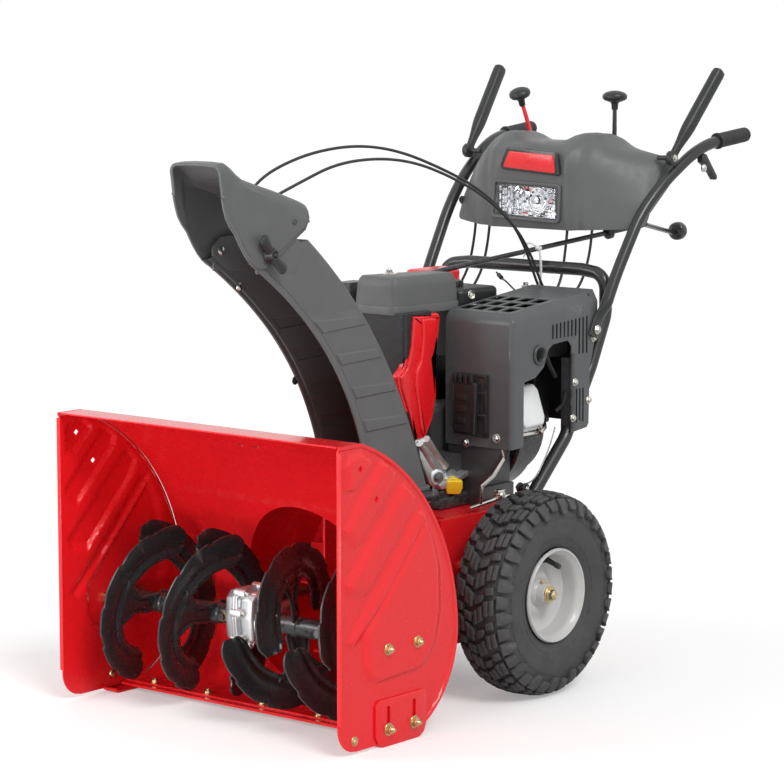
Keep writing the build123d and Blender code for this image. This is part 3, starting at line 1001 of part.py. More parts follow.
def selector(x, lean, length, knob_w):
    a = Vector(x, SEL_PIVOT_Y, SEL_Z)
    d = Vector(lean[0], lean[1], 1).normalized()
    b = a + d * length
    stick = bar(tuple(a), tuple(b), 12, 4, (0, 1, 0)) + cyl_x(6, x - 15.8, x + 15.8, SEL_PIVOT_Y, SEL_Z)
    ball = Pos(b.X, b.Y, b.Z) * Rot(degrees(-atan2(lean[1], 1)), degrees(atan2(lean[0], 1)), 0)
    k = ball * (Sphere(knob_w / 2) & Box(60, 60, knob_w * 0.6)) + ball * Pos(0, 0, -12) * Cone(7, 10, 14)
    return Compound(children=[stick + k])


parts["speed_lever"] = selector(-95, (-0.02, -0.36), 172, 44)
parts["pitch_lever"] = selector(95, (0.0, 0.0), 158, 50)
# ================================ cables ====================================================
def cable(points, shown):
    dist = [(Vector(*q) - Vector(*p)).length for p, q in zip(points[:-1], points[1:])]
    radii = []
    for k in range(1, len(points) - 1):
        u = (Vector(*points[k]) - Vector(*points[k - 1])).normalized()
        v = (Vector(*points[k + 1]) - Vector(*points[k])).normalized()
        turn = radians(u.get_angle(v))
        radii.append(round(0.45 * min(dist[k - 1], dist[k]) / tan(turn / 2), 1))
    print(shown, "radii", radii)
    line = FilletPolyline(*points, radius=radii)
    plane = Plane(origin=line.position_at(0), z_dir=line.tangent_at(0))
    body = sweep(plane * Circle(CABLE_R), path=line)
    print(shown, "volume", round(body.volume), "section x length", round(pi * CABLE_R ** 2 * line.length))
    return body


def route(points):
    return [(a, rear(b), c) for a, b, c in points]


cable_one = route([(13, 104, 822.05), (13, 104, 872), (12, 120, 924), (13, 160, 961), (17, 215, 986), (24, 302, 1008),
                   (32, 410, 1016), (38, 520, 1002), (43, 640, 965), (48, 750, 922), (52, 845, 858), (53, 893, 800),
                   (53, 922, 745), (53, 946, 706), (52, 982, 694), (51, 1015, 724), (50, 1030, 782), (50, 1038, 838),
                   (51, 1045, 883.7)])
cable_two = route([(17, 114, 822.05), (17, 114, 866), (17, 145, 902), (26, 180, 930), (40, 240, 955), (47, 330, 985),
                   (53, 438, 992), (58, 540, 981), (63, 640, 951), (67, 745, 908), (70, 838, 845), (71, 886, 790),
                   (72, 916, 735), (74, 942, 697), (80, 984, 684), (92, 1022, 714), (100, 1040, 768),
                   (103, 1048, 826), (103, 1052, 883.7)])
cables = [cable(cable_one, "pitch cable one"), cable(cable_two, "pitch cable two")]
for x0, x1, name in ((-196, -168, "drive cable"), (-160, -140, "auger cable")):
    path = route([(x0, 1060, 883.8), (x0, 1058, 840), (x0 + 1, 1050, 795), (x0 + 4, 1030, 742), (x0 + 8, 995, 705),
                  (x0 + 12, 950, 678), (x1, 905, 640), (x1, 868, 590), (x1 - 2, 840, 535), (x1 - 4, 815, 478), (x1 - 4, 790, 425),
                  (x1 - 4, 762, 380), (x1 - 4, 728, 348), (x1 - 4, 690, FRAME_TOP_Z + CABLE_R + 0.05)])
    cables.append(cable(path, name))
parts["cables"] = Compound(children=cables)

os.makedirs("parts", exist_ok=True)
for name, shape in parts.items():
    shape.label = name
    export_step(shape, "parts/" + name + ".step")
box = Compound(children=[s for s in parts.values()]).bounding_box()
print(len(parts), "nodes", box.min, box.max)
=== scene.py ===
import json
from math import cos, exp, hypot, pi, radians, sin, sqrt, tan

import bmesh
import bpy
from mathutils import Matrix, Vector


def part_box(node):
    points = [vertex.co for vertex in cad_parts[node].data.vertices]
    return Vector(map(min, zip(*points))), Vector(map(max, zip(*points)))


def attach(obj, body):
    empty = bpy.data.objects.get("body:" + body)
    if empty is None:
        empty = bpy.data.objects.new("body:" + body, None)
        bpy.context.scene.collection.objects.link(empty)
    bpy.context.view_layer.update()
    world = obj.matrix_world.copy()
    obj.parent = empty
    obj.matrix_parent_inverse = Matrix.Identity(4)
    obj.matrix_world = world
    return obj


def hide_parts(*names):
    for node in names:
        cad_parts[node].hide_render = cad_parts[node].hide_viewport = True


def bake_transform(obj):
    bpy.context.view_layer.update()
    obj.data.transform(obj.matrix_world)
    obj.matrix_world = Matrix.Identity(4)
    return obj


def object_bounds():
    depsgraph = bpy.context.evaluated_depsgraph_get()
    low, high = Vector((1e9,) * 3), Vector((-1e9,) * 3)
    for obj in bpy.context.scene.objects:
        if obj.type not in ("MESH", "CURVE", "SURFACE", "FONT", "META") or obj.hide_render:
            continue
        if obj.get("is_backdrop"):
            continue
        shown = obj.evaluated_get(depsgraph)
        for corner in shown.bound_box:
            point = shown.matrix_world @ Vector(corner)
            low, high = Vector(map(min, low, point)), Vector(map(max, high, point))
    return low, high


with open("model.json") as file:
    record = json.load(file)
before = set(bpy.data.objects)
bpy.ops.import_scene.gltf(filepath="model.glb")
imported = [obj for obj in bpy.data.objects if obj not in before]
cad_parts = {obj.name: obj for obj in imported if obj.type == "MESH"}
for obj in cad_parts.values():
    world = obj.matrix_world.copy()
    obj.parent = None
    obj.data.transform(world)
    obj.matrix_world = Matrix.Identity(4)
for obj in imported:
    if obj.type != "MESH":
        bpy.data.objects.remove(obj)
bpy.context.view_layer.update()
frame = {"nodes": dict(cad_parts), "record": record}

# Everything below is given in millimetres: x from the middle plane, rear measured back from
# the housing's front edge, z up from the ground. at() turns that into the frame's metres.
MM = 0.001
scene = bpy.context.scene
HOUSING_LOW, HOUSING_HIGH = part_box("auger_housing")
HALF_WIDTH = HOUSING_HIGH.x / MM
HOUSING_TOP = HOUSING_HIGH.z / MM


def at(x, rear, z):
    return Vector((x * MM, HOUSING_LOW.y + rear * MM, z * MM))


def span(node):
    """A node's box in millimetres: ((x, rear, z) lowest, (x, rear, z) highest)."""
    return [(p.x / MM, (p.y - HOUSING_LOW.y) / MM, p.z / MM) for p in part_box(node)]


def side_view(rear, z, x):
    """An outline drawn in (rear, z) and raised along x."""
    return at(x, rear, z)


def front_view(x, z, forward):
    """An outline drawn in (x, z) and raised towards the front, from a negative rear."""
    return at(x, -forward, z)


def top_view(x, rear, z):
    """An outline drawn in (x, rear) and raised along z."""
    return at(x, rear, z)


def rect(x0, x1, y0, y1):
    """The four corners of an upright rectangle, as an outline."""
    return [(x0, y0), (x1, y0), (x1, y1), (x0, y1)]


def turns(n):
    """n equal steps round a full turn, in radians."""
    return [2 * pi * k / n for k in range(n)]


def between(side, near, far):
    """The x range from near to far on one side of the middle plane, lowest first."""
    return sorted((side * near, side * far))


def facing(side, profile):
    """A lathe profile along +x, turned to point away from the middle on either side."""
    return [(side * along, radius) for along, radius in profile]


RIGHT, FRONT, REAR, UP = (1, 0, 0), (0, -1, 0), (0, 1, 0), (0, 0, 1)


# ---- finishes ------------------------------------------------------------------------------
FINISHES = {}


def finish(name, colour, rough, metallic=0.0, coat=0.0, grain=1.0, bump=0.1, mottle=0.06,
           rough_vary=0.08, wear=None, wear_share=0.5, scratch=0.0, slot=None, depth=0.25,
           transmission=0.0, ior=1.45, sheen=0.0):
    """A procedural material: grain is the size of its surface texture in millimetres."""
    m = bpy.data.materials.new(name)
    m.use_nodes = True
    nodes, links = m.node_tree.nodes, m.node_tree.links
    shader = nodes["Principled BSDF"]
    shader.inputs["Metallic"].default_value = metallic
    shader.inputs["Coat Weight"].default_value = coat
    shader.inputs["Coat Roughness"].default_value = 0.06
    shader.inputs["IOR"].default_value = ior
    shader.inputs["Transmission Weight"].default_value = transmission
    shader.inputs["Sheen Weight"].default_value = sheen
    place = nodes.new("ShaderNodeTexCoord").outputs["Object"]

    def noise(size, detail=3.0, roughness=0.5):
        n = nodes.new("ShaderNodeTexNoise")
        n.inputs["Scale"].default_value = 1.0 / (size * MM)
        n.inputs["Detail"].default_value = detail
        n.inputs["Roughness"].default_value = roughness
        links.new(place, n.inputs["Vector"])
        return n.outputs["Fac"]

    def remap(value, low, high, to_low, to_high):
        r = nodes.new("ShaderNodeMapRange")
        for key, number in zip(("From Min", "From Max", "To Min", "To Max"), (low, high, to_low, to_high)):
            r.inputs[key].default_value = number
        links.new(value, r.inputs["Value"])
        return r.outputs["Result"]

    def mix(share, a, b):
        x = nodes.new("ShaderNodeMix")
        x.data_type = "RGBA"
        links.new(share, x.inputs["Factor"])
        for key, value in (("A", a), ("B", b)):
            socket = [s for s in x.inputs if s.name == key and s.type == "RGBA"][0]
            if isinstance(value, tuple):
                socket.default_value = value
            else:
                links.new(value, socket)
        return [s for s in x.outputs if s.type == "RGBA"][0]

    dark = tuple(c * (1 - mottle) for c in colour) + (1.0,)
    light = tuple(min(1.0, c * (1 + mottle)) for c in colour) + (1.0,)
    broad = noise(60.0, 4.0)
    tint = mix(remap(broad, 0.3, 0.7, 0.0, 1.0), dark, light)
    roughness = remap(noise(22.0, 5.0, 0.6), 0.3, 0.7, max(0.02, rough - rough_vary), rough + rough_vary)
    if wear:
        edge = nodes.new("ShaderNodeNewGeometry").outputs["Pointiness"]
        worn = nodes.new("ShaderNodeMath")
        worn.operation = "MULTIPLY"
        links.new(remap(edge, 0.52, 0.62, 0.0, wear_share), worn.inputs[0])
        links.new(remap(noise(9.0, 6.0, 0.7), 0.42, 0.62, 0.0, 1.0), worn.inputs[1])
        tint = mix(worn.outputs[0], tint, wear + (1.0,))
    links.new(tint, shader.inputs["Base Color"])
    links.new(roughness, shader.inputs["Roughness"])
    height = noise(grain, 4.0, 0.6)
    if scratch:
        streak = nodes.new("ShaderNodeTexNoise")
        stretch = nodes.new("ShaderNodeMapping")
        stretch.inputs["Scale"].default_value = (2000.0, 90.0, 90.0)
        links.new(place, stretch.inputs["Vector"])
        links.new(stretch.outputs["Vector"], streak.inputs["Vector"])
        streak.inputs["Scale"].default_value = 1.0
        add = nodes.new("ShaderNodeMath")
        add.operation = "MULTIPLY_ADD"
        links.new(streak.outputs["Fac"], add.inputs[0])
        add.inputs[1].default_value = scratch
        links.new(height, add.inputs[2])
        height = add.outputs[0]
    relief = nodes.new("ShaderNodeBump")
    relief.inputs["Strength"].default_value = bump
    relief.inputs["Distance"].default_value = depth * MM
    links.new(height, relief.inputs["Height"])
    links.new(relief.outputs["Normal"], shader.inputs["Normal"])
    FINISHES[name] = (m, slot or name)
    return m


finish("red_paint", (0.76, 0.010, 0.015), 0.26, coat=0.2, grain=2.6, bump=0.025, mottle=0.02,
       rough_vary=0.03, wear=(0.85, 0.10, 0.09), wear_share=0.25)
finish("black_paint", (0.019, 0.020, 0.021), 0.28, coat=0.2, grain=3.2, bump=0.08, rough_vary=0.07,
       wear=(0.12, 0.12, 0.12), wear_share=0.8)
finish("grey_paint", (0.046, 0.047, 0.049), 0.42, grain=0.9, bump=0.16, rough_vary=0.06,
       wear=(0.16, 0.16, 0.16), wear_share=0.5)
finish("shield_paint", (0.082, 0.086, 0.089), 0.42, coat=0.1, grain=0.9, bump=0.14, rough_vary=0.05,
       wear=(0.2, 0.2, 0.2), wear_share=0.4, slot="grey_paint")
# painted shade: a darker, rougher copy of black paint for the backing sheets and parts inside the muffler
# shield
finish("painted_shade_black", (0.006, 0.006, 0.006), 0.6, grain=1.4, bump=0.2, slot="black_paint")
finish("outlet_black", (0.022, 0.022, 0.023), 0.42, grain=1.8, bump=0.18, slot="black_paint")
finish("handle_paint", (0.020, 0.021, 0.022), 0.30, coat=0.15, grain=1.4, bump=0.08,
       wear=(0.12, 0.12, 0.12), wear_share=0.5, slot="black_paint")
finish("silver_paint", (0.50, 0.495, 0.485), 0.36, coat=0.2, grain=1.6, bump=0.06, mottle=0.04,
       wear=(0.7, 0.7, 0.7))
finish("cover_plastic", (0.108, 0.111, 0.112), 0.46, grain=0.7, bump=0.35, mottle=0.05,
       wear=(0.16, 0.165, 0.17), wear_share=0.35, sheen=0.0)
finish("red_plastic", (0.82, 0.010, 0.016), 0.30, coat=0.25, grain=1.2, bump=0.06, mottle=0.03,
       wear=(0.85, 0.2, 0.18), wear_share=0.3)
finish("black_plastic", (0.019, 0.020, 0.021), 0.38, grain=0.8, bump=0.3, mottle=0.08,
       wear=(0.09, 0.09, 0.09), wear_share=0.5)
finish("grip_rubber", (0.018, 0.018, 0.019), 0.47, grain=0.9, bump=0.45, mottle=0.1,
       wear=(0.08, 0.08, 0.08), wear_share=0.4)
finish("belt_rubber", (0.02, 0.02, 0.02), 0.7, grain=0.8, bump=0.4)
finish("tyre", (0.050, 0.050, 0.051), 0.62, grain=1.5, bump=0.5, mottle=0.16, rough_vary=0.12,
       wear=(0.13, 0.13, 0.13), wear_share=0.7, depth=0.5)
finish("steel", (0.62, 0.60, 0.55), 0.24, metallic=1.0, grain=0.8, bump=0.12, mottle=0.1,
       rough_vary=0.1, wear=(0.85, 0.85, 0.85), scratch=0.3)
finish("dark_steel", (0.24, 0.24, 0.24), 0.36, metallic=1.0, grain=1.0, bump=0.2, mottle=0.15, scratch=0.4)
finish("aluminium", (0.60, 0.61, 0.62), 0.42, metallic=0.9, grain=0.9, bump=0.5, mottle=0.1,
       rough_vary=0.12, wear=(0.9, 0.9, 0.9), wear_share=0.6)
finish("cast_dark", (0.10, 0.10, 0.105),
       0.5, metallic=0.6, grain=0.9, bump=0.5, mottle=0.1, slot="aluminium")
finish("white_cover", (0.78, 0.79, 0.79), 0.34, metallic=0.15, grain=1.6, bump=0.10, mottle=0.03)
finish("yellow_plastic", (0.85, 0.58, 0.015), 0.34, coat=0.2, grain=1.0, bump=0.1, mottle=0.04)
finish("lamp_chrome", (0.88, 0.88, 0.9), 0.07, metallic=1.0, grain=6.0, bump=0.05, mottle=0.02,
       rough_vary=0.03)
finish("lamp_lens", (0.97, 0.98, 0.99), 0.04, grain=5.0, bump=0.15, mottle=0.01, rough_vary=0.02,
       transmission=1.0, ior=1.3)
finish("bronze", (0.55, 0.42, 0.22), 0.28, metallic=1.0, grain=0.7, bump=0.15, mottle=0.12,
       rough_vary=0.1, wear=(0.9, 0.8, 0.55), scratch=0.2)

SLOT_OF = {row["node"]: row["material_slot"] for row in frame["record"]["subparts"]}


# ---- building meshes -----------------------------------------------------------------------
WELD = 0.02 * MM          # vertices nearer than this become one
CLOSED_R = 0.01           # radius of the ring that closes the end of a turned piece
SHARP = 32.0              # degrees between two faces from which their edge stays sharp


def rounded(points, radius, steps=4, closed=True):
    """The outline with its corners eased. radius is one number or one for each point."""
    pts = [Vector(p) for p in points]
    radii = list(radius) if isinstance(radius, (list, tuple)) else [radius] * len(pts)
    out = []
    for i, q in enumerate(pts):
        ends = not closed and i in (0, len(pts) - 1)
        if ends or radii[i] <= 0:
            out.append(q)
            continue
        a, b = pts[i - 1] - q, pts[(i + 1) % len(pts)] - q
        turn = a.angle(b)
        if turn > 3.1:
            out.append(q)
            continue
        reach = min(radii[i] / tan(turn / 2), 0.48 * a.length, 0.48 * b.length)
        p, r = q + a.normalized() * reach, q + b.normalized() * reach
        for k in range(steps + 1):
            s = k / steps
            out.append(p * (1 - s) ** 2 + q * 2 * s * (1 - s) + r * s ** 2)
    return out


def inset(outline, d, hold=None):
    """The closed 2-D outline moved inwards by d; hold lists shares of d, one for each point."""
    n = len(outline)
    area = sum(outline[i - 1].cross(outline[i]) for i in range(n))
    turn = 1 if area > 0 else -1
    out = []
    for i, q in enumerate(outline):
        a, b = (q - outline[i - 1]).normalized(), (outline[(i + 1) % n] - q).normalized()
        normal = Vector((-a.y - b.y, a.x + b.x)) * turn
        if normal.length < 1e-6:
            out.append(q.copy())
            continue
        normal.normalize()
        lean = max(0.35, normal.dot(Vector((-a.y, a.x)) * turn))
        share = d if hold is None else d * hold[i]
        out.append(q + normal * (share / lean))
    return out


def frame_of(direction):
    d = Vector(direction).normalized()
    side = d.cross(Vector((0, 0, 1)) if abs(d.z) < 0.9 else Vector((1, 0, 0))).normalized()
    return d, side, d.cross(side)


def linked(name, data):
    obj = bpy.data.objects.new(name, data)
    scene.collection.objects.link(obj)
    return obj


def coated(mesh, material, sharp=None):
    """Gives a mesh one material and smooth shading, with edges over the sharp angle kept."""
    mesh.materials.clear()
    mesh.materials.append(material)
    mesh.polygons.foreach_set("use_smooth", [True] * len(mesh.polygons))
    if sharp is not None:
        mesh.set_sharp_from_angle(angle=radians(sharp))


def evaluated_mesh(obj):
    bpy.context.view_layer.update()
    return bpy.data.meshes.new_from_object(obj.evaluated_get(bpy.context.evaluated_depsgraph_get()))


class Shape:
    """Faces gathered for one piece."""

    def __init__(self):
        self.verts, self.faces = [], []

    def add(self, verts, faces):
        start = len(self.verts)
        self.verts += [Vector(v) for v in verts]
        self.faces += [[start + i for i in f] for f in faces]
        return self

    def loft(self, rings, caps=True, closed=True, loop=False):
        n, count = len(rings[0]), len(rings)
        faces = []
        for k in range(count if loop else count - 1):
            here, there = k * n, (k + 1) % count * n
            for i in range(n if closed else n - 1):
                j = (i + 1) % n
                faces.append((here + i, here + j, there + j, there + i))
        if caps and not loop:
            faces.append(tuple(reversed(range(n))))
            faces.append(tuple(range((count - 1) * n, count * n)))
        return self.add([p for ring in rings for p in ring], faces)

    def prism(self, outline, low, high, plane, edge=0.0, steps=2):
        """An outline raised from low to high, with its rims rounded by edge."""
        flat = [Vector(p) for p in outline]
        rings = []
        quarter = [k / steps * pi / 2 for k in range(steps + 1)] if edge else [pi / 2]
        for t in quarter:
            ring = inset(flat, edge * (1 - sin(t))) if edge else flat
            rings.append([plane(p.x, p.y, low + edge * (1 - cos(t))) for p in ring])
        for t in reversed(quarter):
            ring = inset(flat, edge * (1 - sin(t))) if edge else flat
            rings.append([plane(p.x, p.y, high - edge * (1 - cos(t))) for p in ring])
        return self.loft(rings)

    def block(self, low, high, edge=1.5):
        (x0, r0, z0), (x1, r1, z1) = low, high
        outline = rounded(rect(x0, x1, r0, r1), edge * 1.5, 3)
        return self.prism(outline, z0, z1, top_view, edge)

    def lathe(self, profile, origin, axis, steps=40, loop=False):
        """(along, radius) points in millimetres turned about an axis through origin.

        A radius of 0 closes an end: it becomes a ring too small to see, and is welded later.
        """
        d, u, v = frame_of(axis)
        rings = []
        for along, radius in profile:
            radius = radius or CLOSED_R
            rings.append([origin + d * along * MM + (u * cos(a) + v * sin(a)) * radius * MM
                          for a in turns(steps)])
        return self.loft(rings, caps=not loop, loop=loop)

    def tube(self, path, radius, steps=14, caps=True):
        """A round tube through points in metres; radius is a number or one for each point."""
        path = [Vector(p) for p in path]
        radii = list(radius) if isinstance(radius, (list, tuple)) else [radius] * len(path)
        _, u, _ = frame_of(path[1] - path[0])
        rings = []
        for i, p in enumerate(path):
            ahead = path[min(i + 1, len(path) - 1)] - path[max(i - 1, 0)]
            d = ahead.normalized()
            u = (u - d * u.dot(d)).normalized()
            v = d.cross(u)
            rings.append([p + (u * cos(a) + v * sin(a)) * radii[i] * MM for a in turns(steps)])
        return self.loft(rings, caps)

    def bolt(self, p, out, head=6.5, height=5.0, washer=9.0, stud=0.0, stud_r=3.6):
        """A hexagon head on a washer, facing out, with the stud's end showing."""
        if washer:
            disc = [(-0.6, 0), (-0.6, washer), (1.0, washer), (1.5, washer - 0.5), (1.5, 0)]
            self.lathe(disc, p, out, 24)
        self.lathe([(1.4, 0), (1.4, head), (height, head), (height + 0.9, head * 0.86),
                    (height + 0.9, 0)], p, out, 6)
        self.lathe([(height, 0), (height + 0.9, head * 0.55), (height + 1.5, head * 0.5),
                    (height + 1.5, 0)], p, out, 12)
        if stud:
            rings = [(height, 0)]
            for k in range(int(stud / 1.2)):
                rings += [(height + 1.2 * k, stud_r), (height + 1.2 * k + 0.6, stud_r * 0.88)]
            rings.append((height + stud, stud_r * 0.7))
            rings.append((height + stud, 0))
            self.lathe(rings, p, out, 12)
        return self

    def mesh(self, name, closed=True, dissolve=True):
        """The gathered faces as a welded mesh, its faces turned outwards if it is closed."""
        mesh = bpy.data.meshes.new(name)
        mesh.from_pydata([tuple(v) for v in self.verts], [], self.faces)
        b = bmesh.new()
        b.from_mesh(mesh)
        bmesh.ops.remove_doubles(b, verts=b.verts, dist=WELD)
        if dissolve:
            bmesh.ops.dissolve_degenerate(b, edges=b.edges, dist=WELD / 2)
        if closed:
            bmesh.ops.recalc_face_normals(b, faces=b.faces)
        b.to_mesh(mesh)
        b.free()
        return mesh

    def piece(self, name, finish_name, body, stands_for=(), bevel=0.0, sharp=SHARP, solid=0.0,
              offset=-1.0, keep_open=False):
        """A finished object: solid is the wall's thickness where the faces are only a skin."""
        obj = linked(name, self.mesh(name, closed=not keep_open))
        if solid:
            s = obj.modifiers.new("wall", "SOLIDIFY")
            s.thickness, s.offset = solid * MM, offset
            s.use_even_offset = True
        if bevel:
            add_bevel(obj, bevel)
        return dress(obj, finish_name, body, stands_for, sharp)


def add_bevel(obj, width, angle=38.0, segments=2):
    b = obj.modifiers.new("edges", "BEVEL")
    b.width, b.segments = width * MM, segments
    b.limit_method, b.angle_limit = "ANGLE", radians(angle)
    b.harden_normals = False
    b.miter_outer = "MITER_ARC"
    return b


def dress(obj, finish_name, body, stands_for=(), sharp=SHARP):
    material, slot = FINISHES[finish_name]
    coated(obj.data, material, sharp)
    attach(obj, body)
    if stands_for:
        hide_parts(*([stands_for] if isinstance(stands_for, str) else stands_for))
    return obj


def carve(obj, cutter):
    """Cuts the cutter's shape out of obj's mesh."""
    tool = linked("cutter", cutter.mesh("cutter", dissolve=False))
    cut = obj.modifiers.new("cut", "BOOLEAN")
    cut.operation, cut.solver, cut.object = "DIFFERENCE", "EXACT", tool
    done = evaluated_mesh(obj)
    obj.modifiers.clear()
    material = obj.data.materials[0]
    obj.data = done
    bpy.data.objects.remove(tool)
    coated(done, material, SHARP)


# ---- CAD nodes that keep their own shape ---------------------------------------------------
def keep_cad(node, finish_name=None, bevel=0.0):
    obj = frame["nodes"][node]
    material, slot = FINISHES[finish_name or SLOT_OF[node]]
    if len(obj.material_slots) == 0:
        obj.data.materials.append(material)
    for s in obj.material_slots:
        s.material = material
    weld = obj.modifiers.new("weld", "WELD")
    weld.merge_threshold = WELD
    if bevel:
        flat = obj.modifiers.new("flat", "DECIMATE")
        flat.decimate_type, flat.angle_limit = "DISSOLVE", radians(0.8)
        add_bevel(obj, bevel, angle=40.0)
        normals = obj.modifiers.new("normals", "WEIGHTED_NORMAL")
        normals.weight = 50
        normals.keep_sharp = False


EDGED = {"auger_housing": 1.2, "frame": 1.2, "impeller_drum": 1.0, "skid_shoe_right": 1.2,
         "skid_shoe_left": 1.2, "scraper_bar": 0.8, "impeller": 0.8, "belt_cover": 2.0,
         "chute_drive_post": 1.0, "fuel_tank": 1.5}
KEPT_FINISH = {"engine_block": "cast_dark", "upper_handles": "handle_paint", "lower_handle": "handle_paint"}
for node_name in sorted(frame["nodes"]):
    keep_cad(node_name, KEPT_FINISH.get(node_name), EDGED.get(node_name, 0.0))

# ---- camera, light and floor ---------------------------------------------------------------
CAMERA_AT = Vector((3.429, -4.29613, 1.258))
TURN, DOWN = radians(39.44), radians(7.52)
LENS, SENSOR = 132.6, 36.0
camera_data = bpy.data.cameras.new("camera")
camera_data.lens, camera_data.sensor_width = LENS, SENSOR
camera = linked("camera", camera_data)
camera.location = CAMERA_AT
ahead = Vector((-sin(TURN) * cos(DOWN), cos(TURN) * cos(DOWN), -sin(DOWN)))
camera.rotation_euler = ahead.to_track_quat("-Z", "Y").to_euler()
scene.camera = camera
scene.view_settings.view_transform = "Standard"

AMBIENT = 0.66
world = bpy.data.worlds.new("studio")
scene.world = world
world.use_nodes = True
wn, wl = world.node_tree.nodes, world.node_tree.links
path = wn.new("ShaderNodeLightPath")
seen = path.outputs["Is Camera Ray"]
for key in ("Is Glossy Ray", "Is Transmission Ray"):
    either = wn.new("ShaderNodeMath")
    either.operation = "MAXIMUM"
    wl.new(seen, either.inputs[0])
    wl.new(path.outputs[key], either.inputs[1])
    seen = either.outputs[0]
level = wn.new("ShaderNodeMapRange")
level.inputs["To Min"].default_value = AMBIENT
level.inputs["To Max"].default_value = 1.0
wl.new(seen, level.inputs["Value"])
wl.new(level.outputs["Result"], wn["Background"].inputs["Strength"])
wn["Background"].inputs["Color"].default_value = (1.0, 1.0, 1.0, 1.0)


def sun(name, toward, strength, softness):
    data = bpy.data.lights.new(name, "SUN")
    data.energy, data.angle = strength, radians(softness)
    linked(name, data).rotation_euler = (-Vector(toward)).to_track_quat("-Z", "Y").to_euler()


def softbox(name, place, aim, width, height, watts):
    data = bpy.data.lights.new(name, "AREA")
    data.shape, data.size, data.size_y = "RECTANGLE", width, height
    data.energy = watts
    lamp = linked(name, data)
    lamp.location = place
    lamp.rotation_euler = (Vector(aim) - Vector(place)).to_track_quat("-Z", "Y").to_euler()


sun("key", (0.95, -0.38, 1.05), 1.5, 22.0)
softbox("front", (-2.6, -3.4, 2.2), (0.0, -0.2, 0.5), 1.6, 1.6, 40.0)
softbox("low", (0.1, -2.5, 0.20), (-0.05, -0.5, 0.28), 1.4, 0.3, 21.0)

floor_mesh = bpy.data.meshes.new("floor")
FLOOR_HALF = 40.0
corners = [(x * FLOOR_HALF, y * FLOOR_HALF, 0) for x, y in ((-1, -1), (1, -1), (1, 1), (-1, 1))]
floor_mesh.from_pydata(corners, [], [(0, 1, 2, 3)])
floor = linked("floor", floor_mesh)
floor_paint = bpy.data.materials.new("floor")
floor_paint.use_nodes = True
fn, fl = floor_paint.node_tree.nodes, floor_paint.node_tree.links
matt = fn["Principled BSDF"]
matt.inputs["Base Color"].default_value = (0.72, 0.72, 0.72, 1.0)
matt.inputs["Roughness"].default_value = 0.9
matt.inputs["Specular IOR Level"].default_value = 0.1
glow = fn.new("ShaderNodeEmission")
both = fn.new("ShaderNodeAddShader")
ray = fn.new("ShaderNodeLightPath")
lift = fn.new("ShaderNodeMath")
lift.operation = "MULTIPLY"
FLOOR_LIFT = 0.30
lift.inputs[1].default_value = FLOOR_LIFT
fl.new(ray.outputs["Is Camera Ray"], lift.inputs[0])
fl.new(lift.outputs[0], glow.inputs["Strength"])
fl.new(matt.outputs["BSDF"], both.inputs[0])
fl.new(glow.outputs["Emission"], both.inputs[1])
fl.new(both.outputs["Shader"], fn["Material Output"].inputs["Surface"])
floor_mesh.materials.append(floor_paint)
floor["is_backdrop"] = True

# ---- side plates ---------------------------------------------------------------------------
# Each raised panel: its outline (rear, z) and how wide the slope is inside each edge.
PLATE_PANELS = [
    ([(6, 398), (100, 499), (122, 500), (150, 480), (144, 460), (38, 352), (14, 372)],
     [22, 12, 8, 8, 5, 25, 15]),
    ([(8, 300), (158, 452), (178, 452), (206, 428), (190, 400), (62, 264), (26, 272)],
     [22, 10, 8, 8, 5, 25, 18]),
    ([(12, 196), (202, 400), (228, 400), (235, 385), (60, 195), (40, 180)], [22, 10, 8, 8, 25, 18]),
    ([(62, 215), (228, 392), (262, 345), (282, 285), (284, 216), (270, 160), (240, 128), (215, 118),
      (100, 112), (76, 124), (62, 150)], [20, 14, 20, 28, 28, 20, 14, 12, 12, 12, 14]),
    ([(8, 456), (8, 500), (22, 520), (60, 524), (84, 508), (86, 498), (36, 452)],
     [20, 16, 14, 10, 8, 6, 12]),
]
PLATE_T, PRESSED, BEAD = 3.0, 8.0, 3.0      # thickness, height of a panel and of the rim's bead
SHEET, BEAD_WIDTH = 2.6, 8.0                # wall of the pressed mesh, width of that bead
PLATE_LOW, PLATE_ROWS, PLATE_COLUMNS = 6.0, 190, 118
DRIFT_HOLES, DRIFT_R = ((50, 494), (92, 437)), 6.2
BEARING_BOLTS, SKID_BOLTS, CORNER_BOLT = (123, 203), (128, 198), (42, 25)
SCRAPER_BOLTS = (-270, -135, 0, 135, 270)


def ease(s):
    s = min(1.0, max(0.0, s))
    return s * s * (3 - 2 * s)


def panel_height(p, outline, widths):
    """0 to 1: how far up a raised panel the point is."""
    depth = 1e9
    for i, width in enumerate(widths):
        a, b = Vector(outline[i]), Vector(outline[(i + 1) % len(outline)])
        way = (b - a).normalized()
        depth = min(depth, way.cross(a - p) / width)
    return ease(depth)


def plate_back(z):
    if z >= 179.0:
        return -62.2 + sqrt(385.3 ** 2 - (z - 169.9) ** 2)
    if z >= 26.4:
        return 143.0 + sqrt(180.0 ** 2 - (179.0 - z) ** 2)
    return 238.4 - (26.4 - z) * 1.6


def plate_front(z):
    return 0.0 if z >= 52.0 else 46.0 - sqrt(max(0.0, 46.0 ** 2 - (52.0 - z) ** 2))


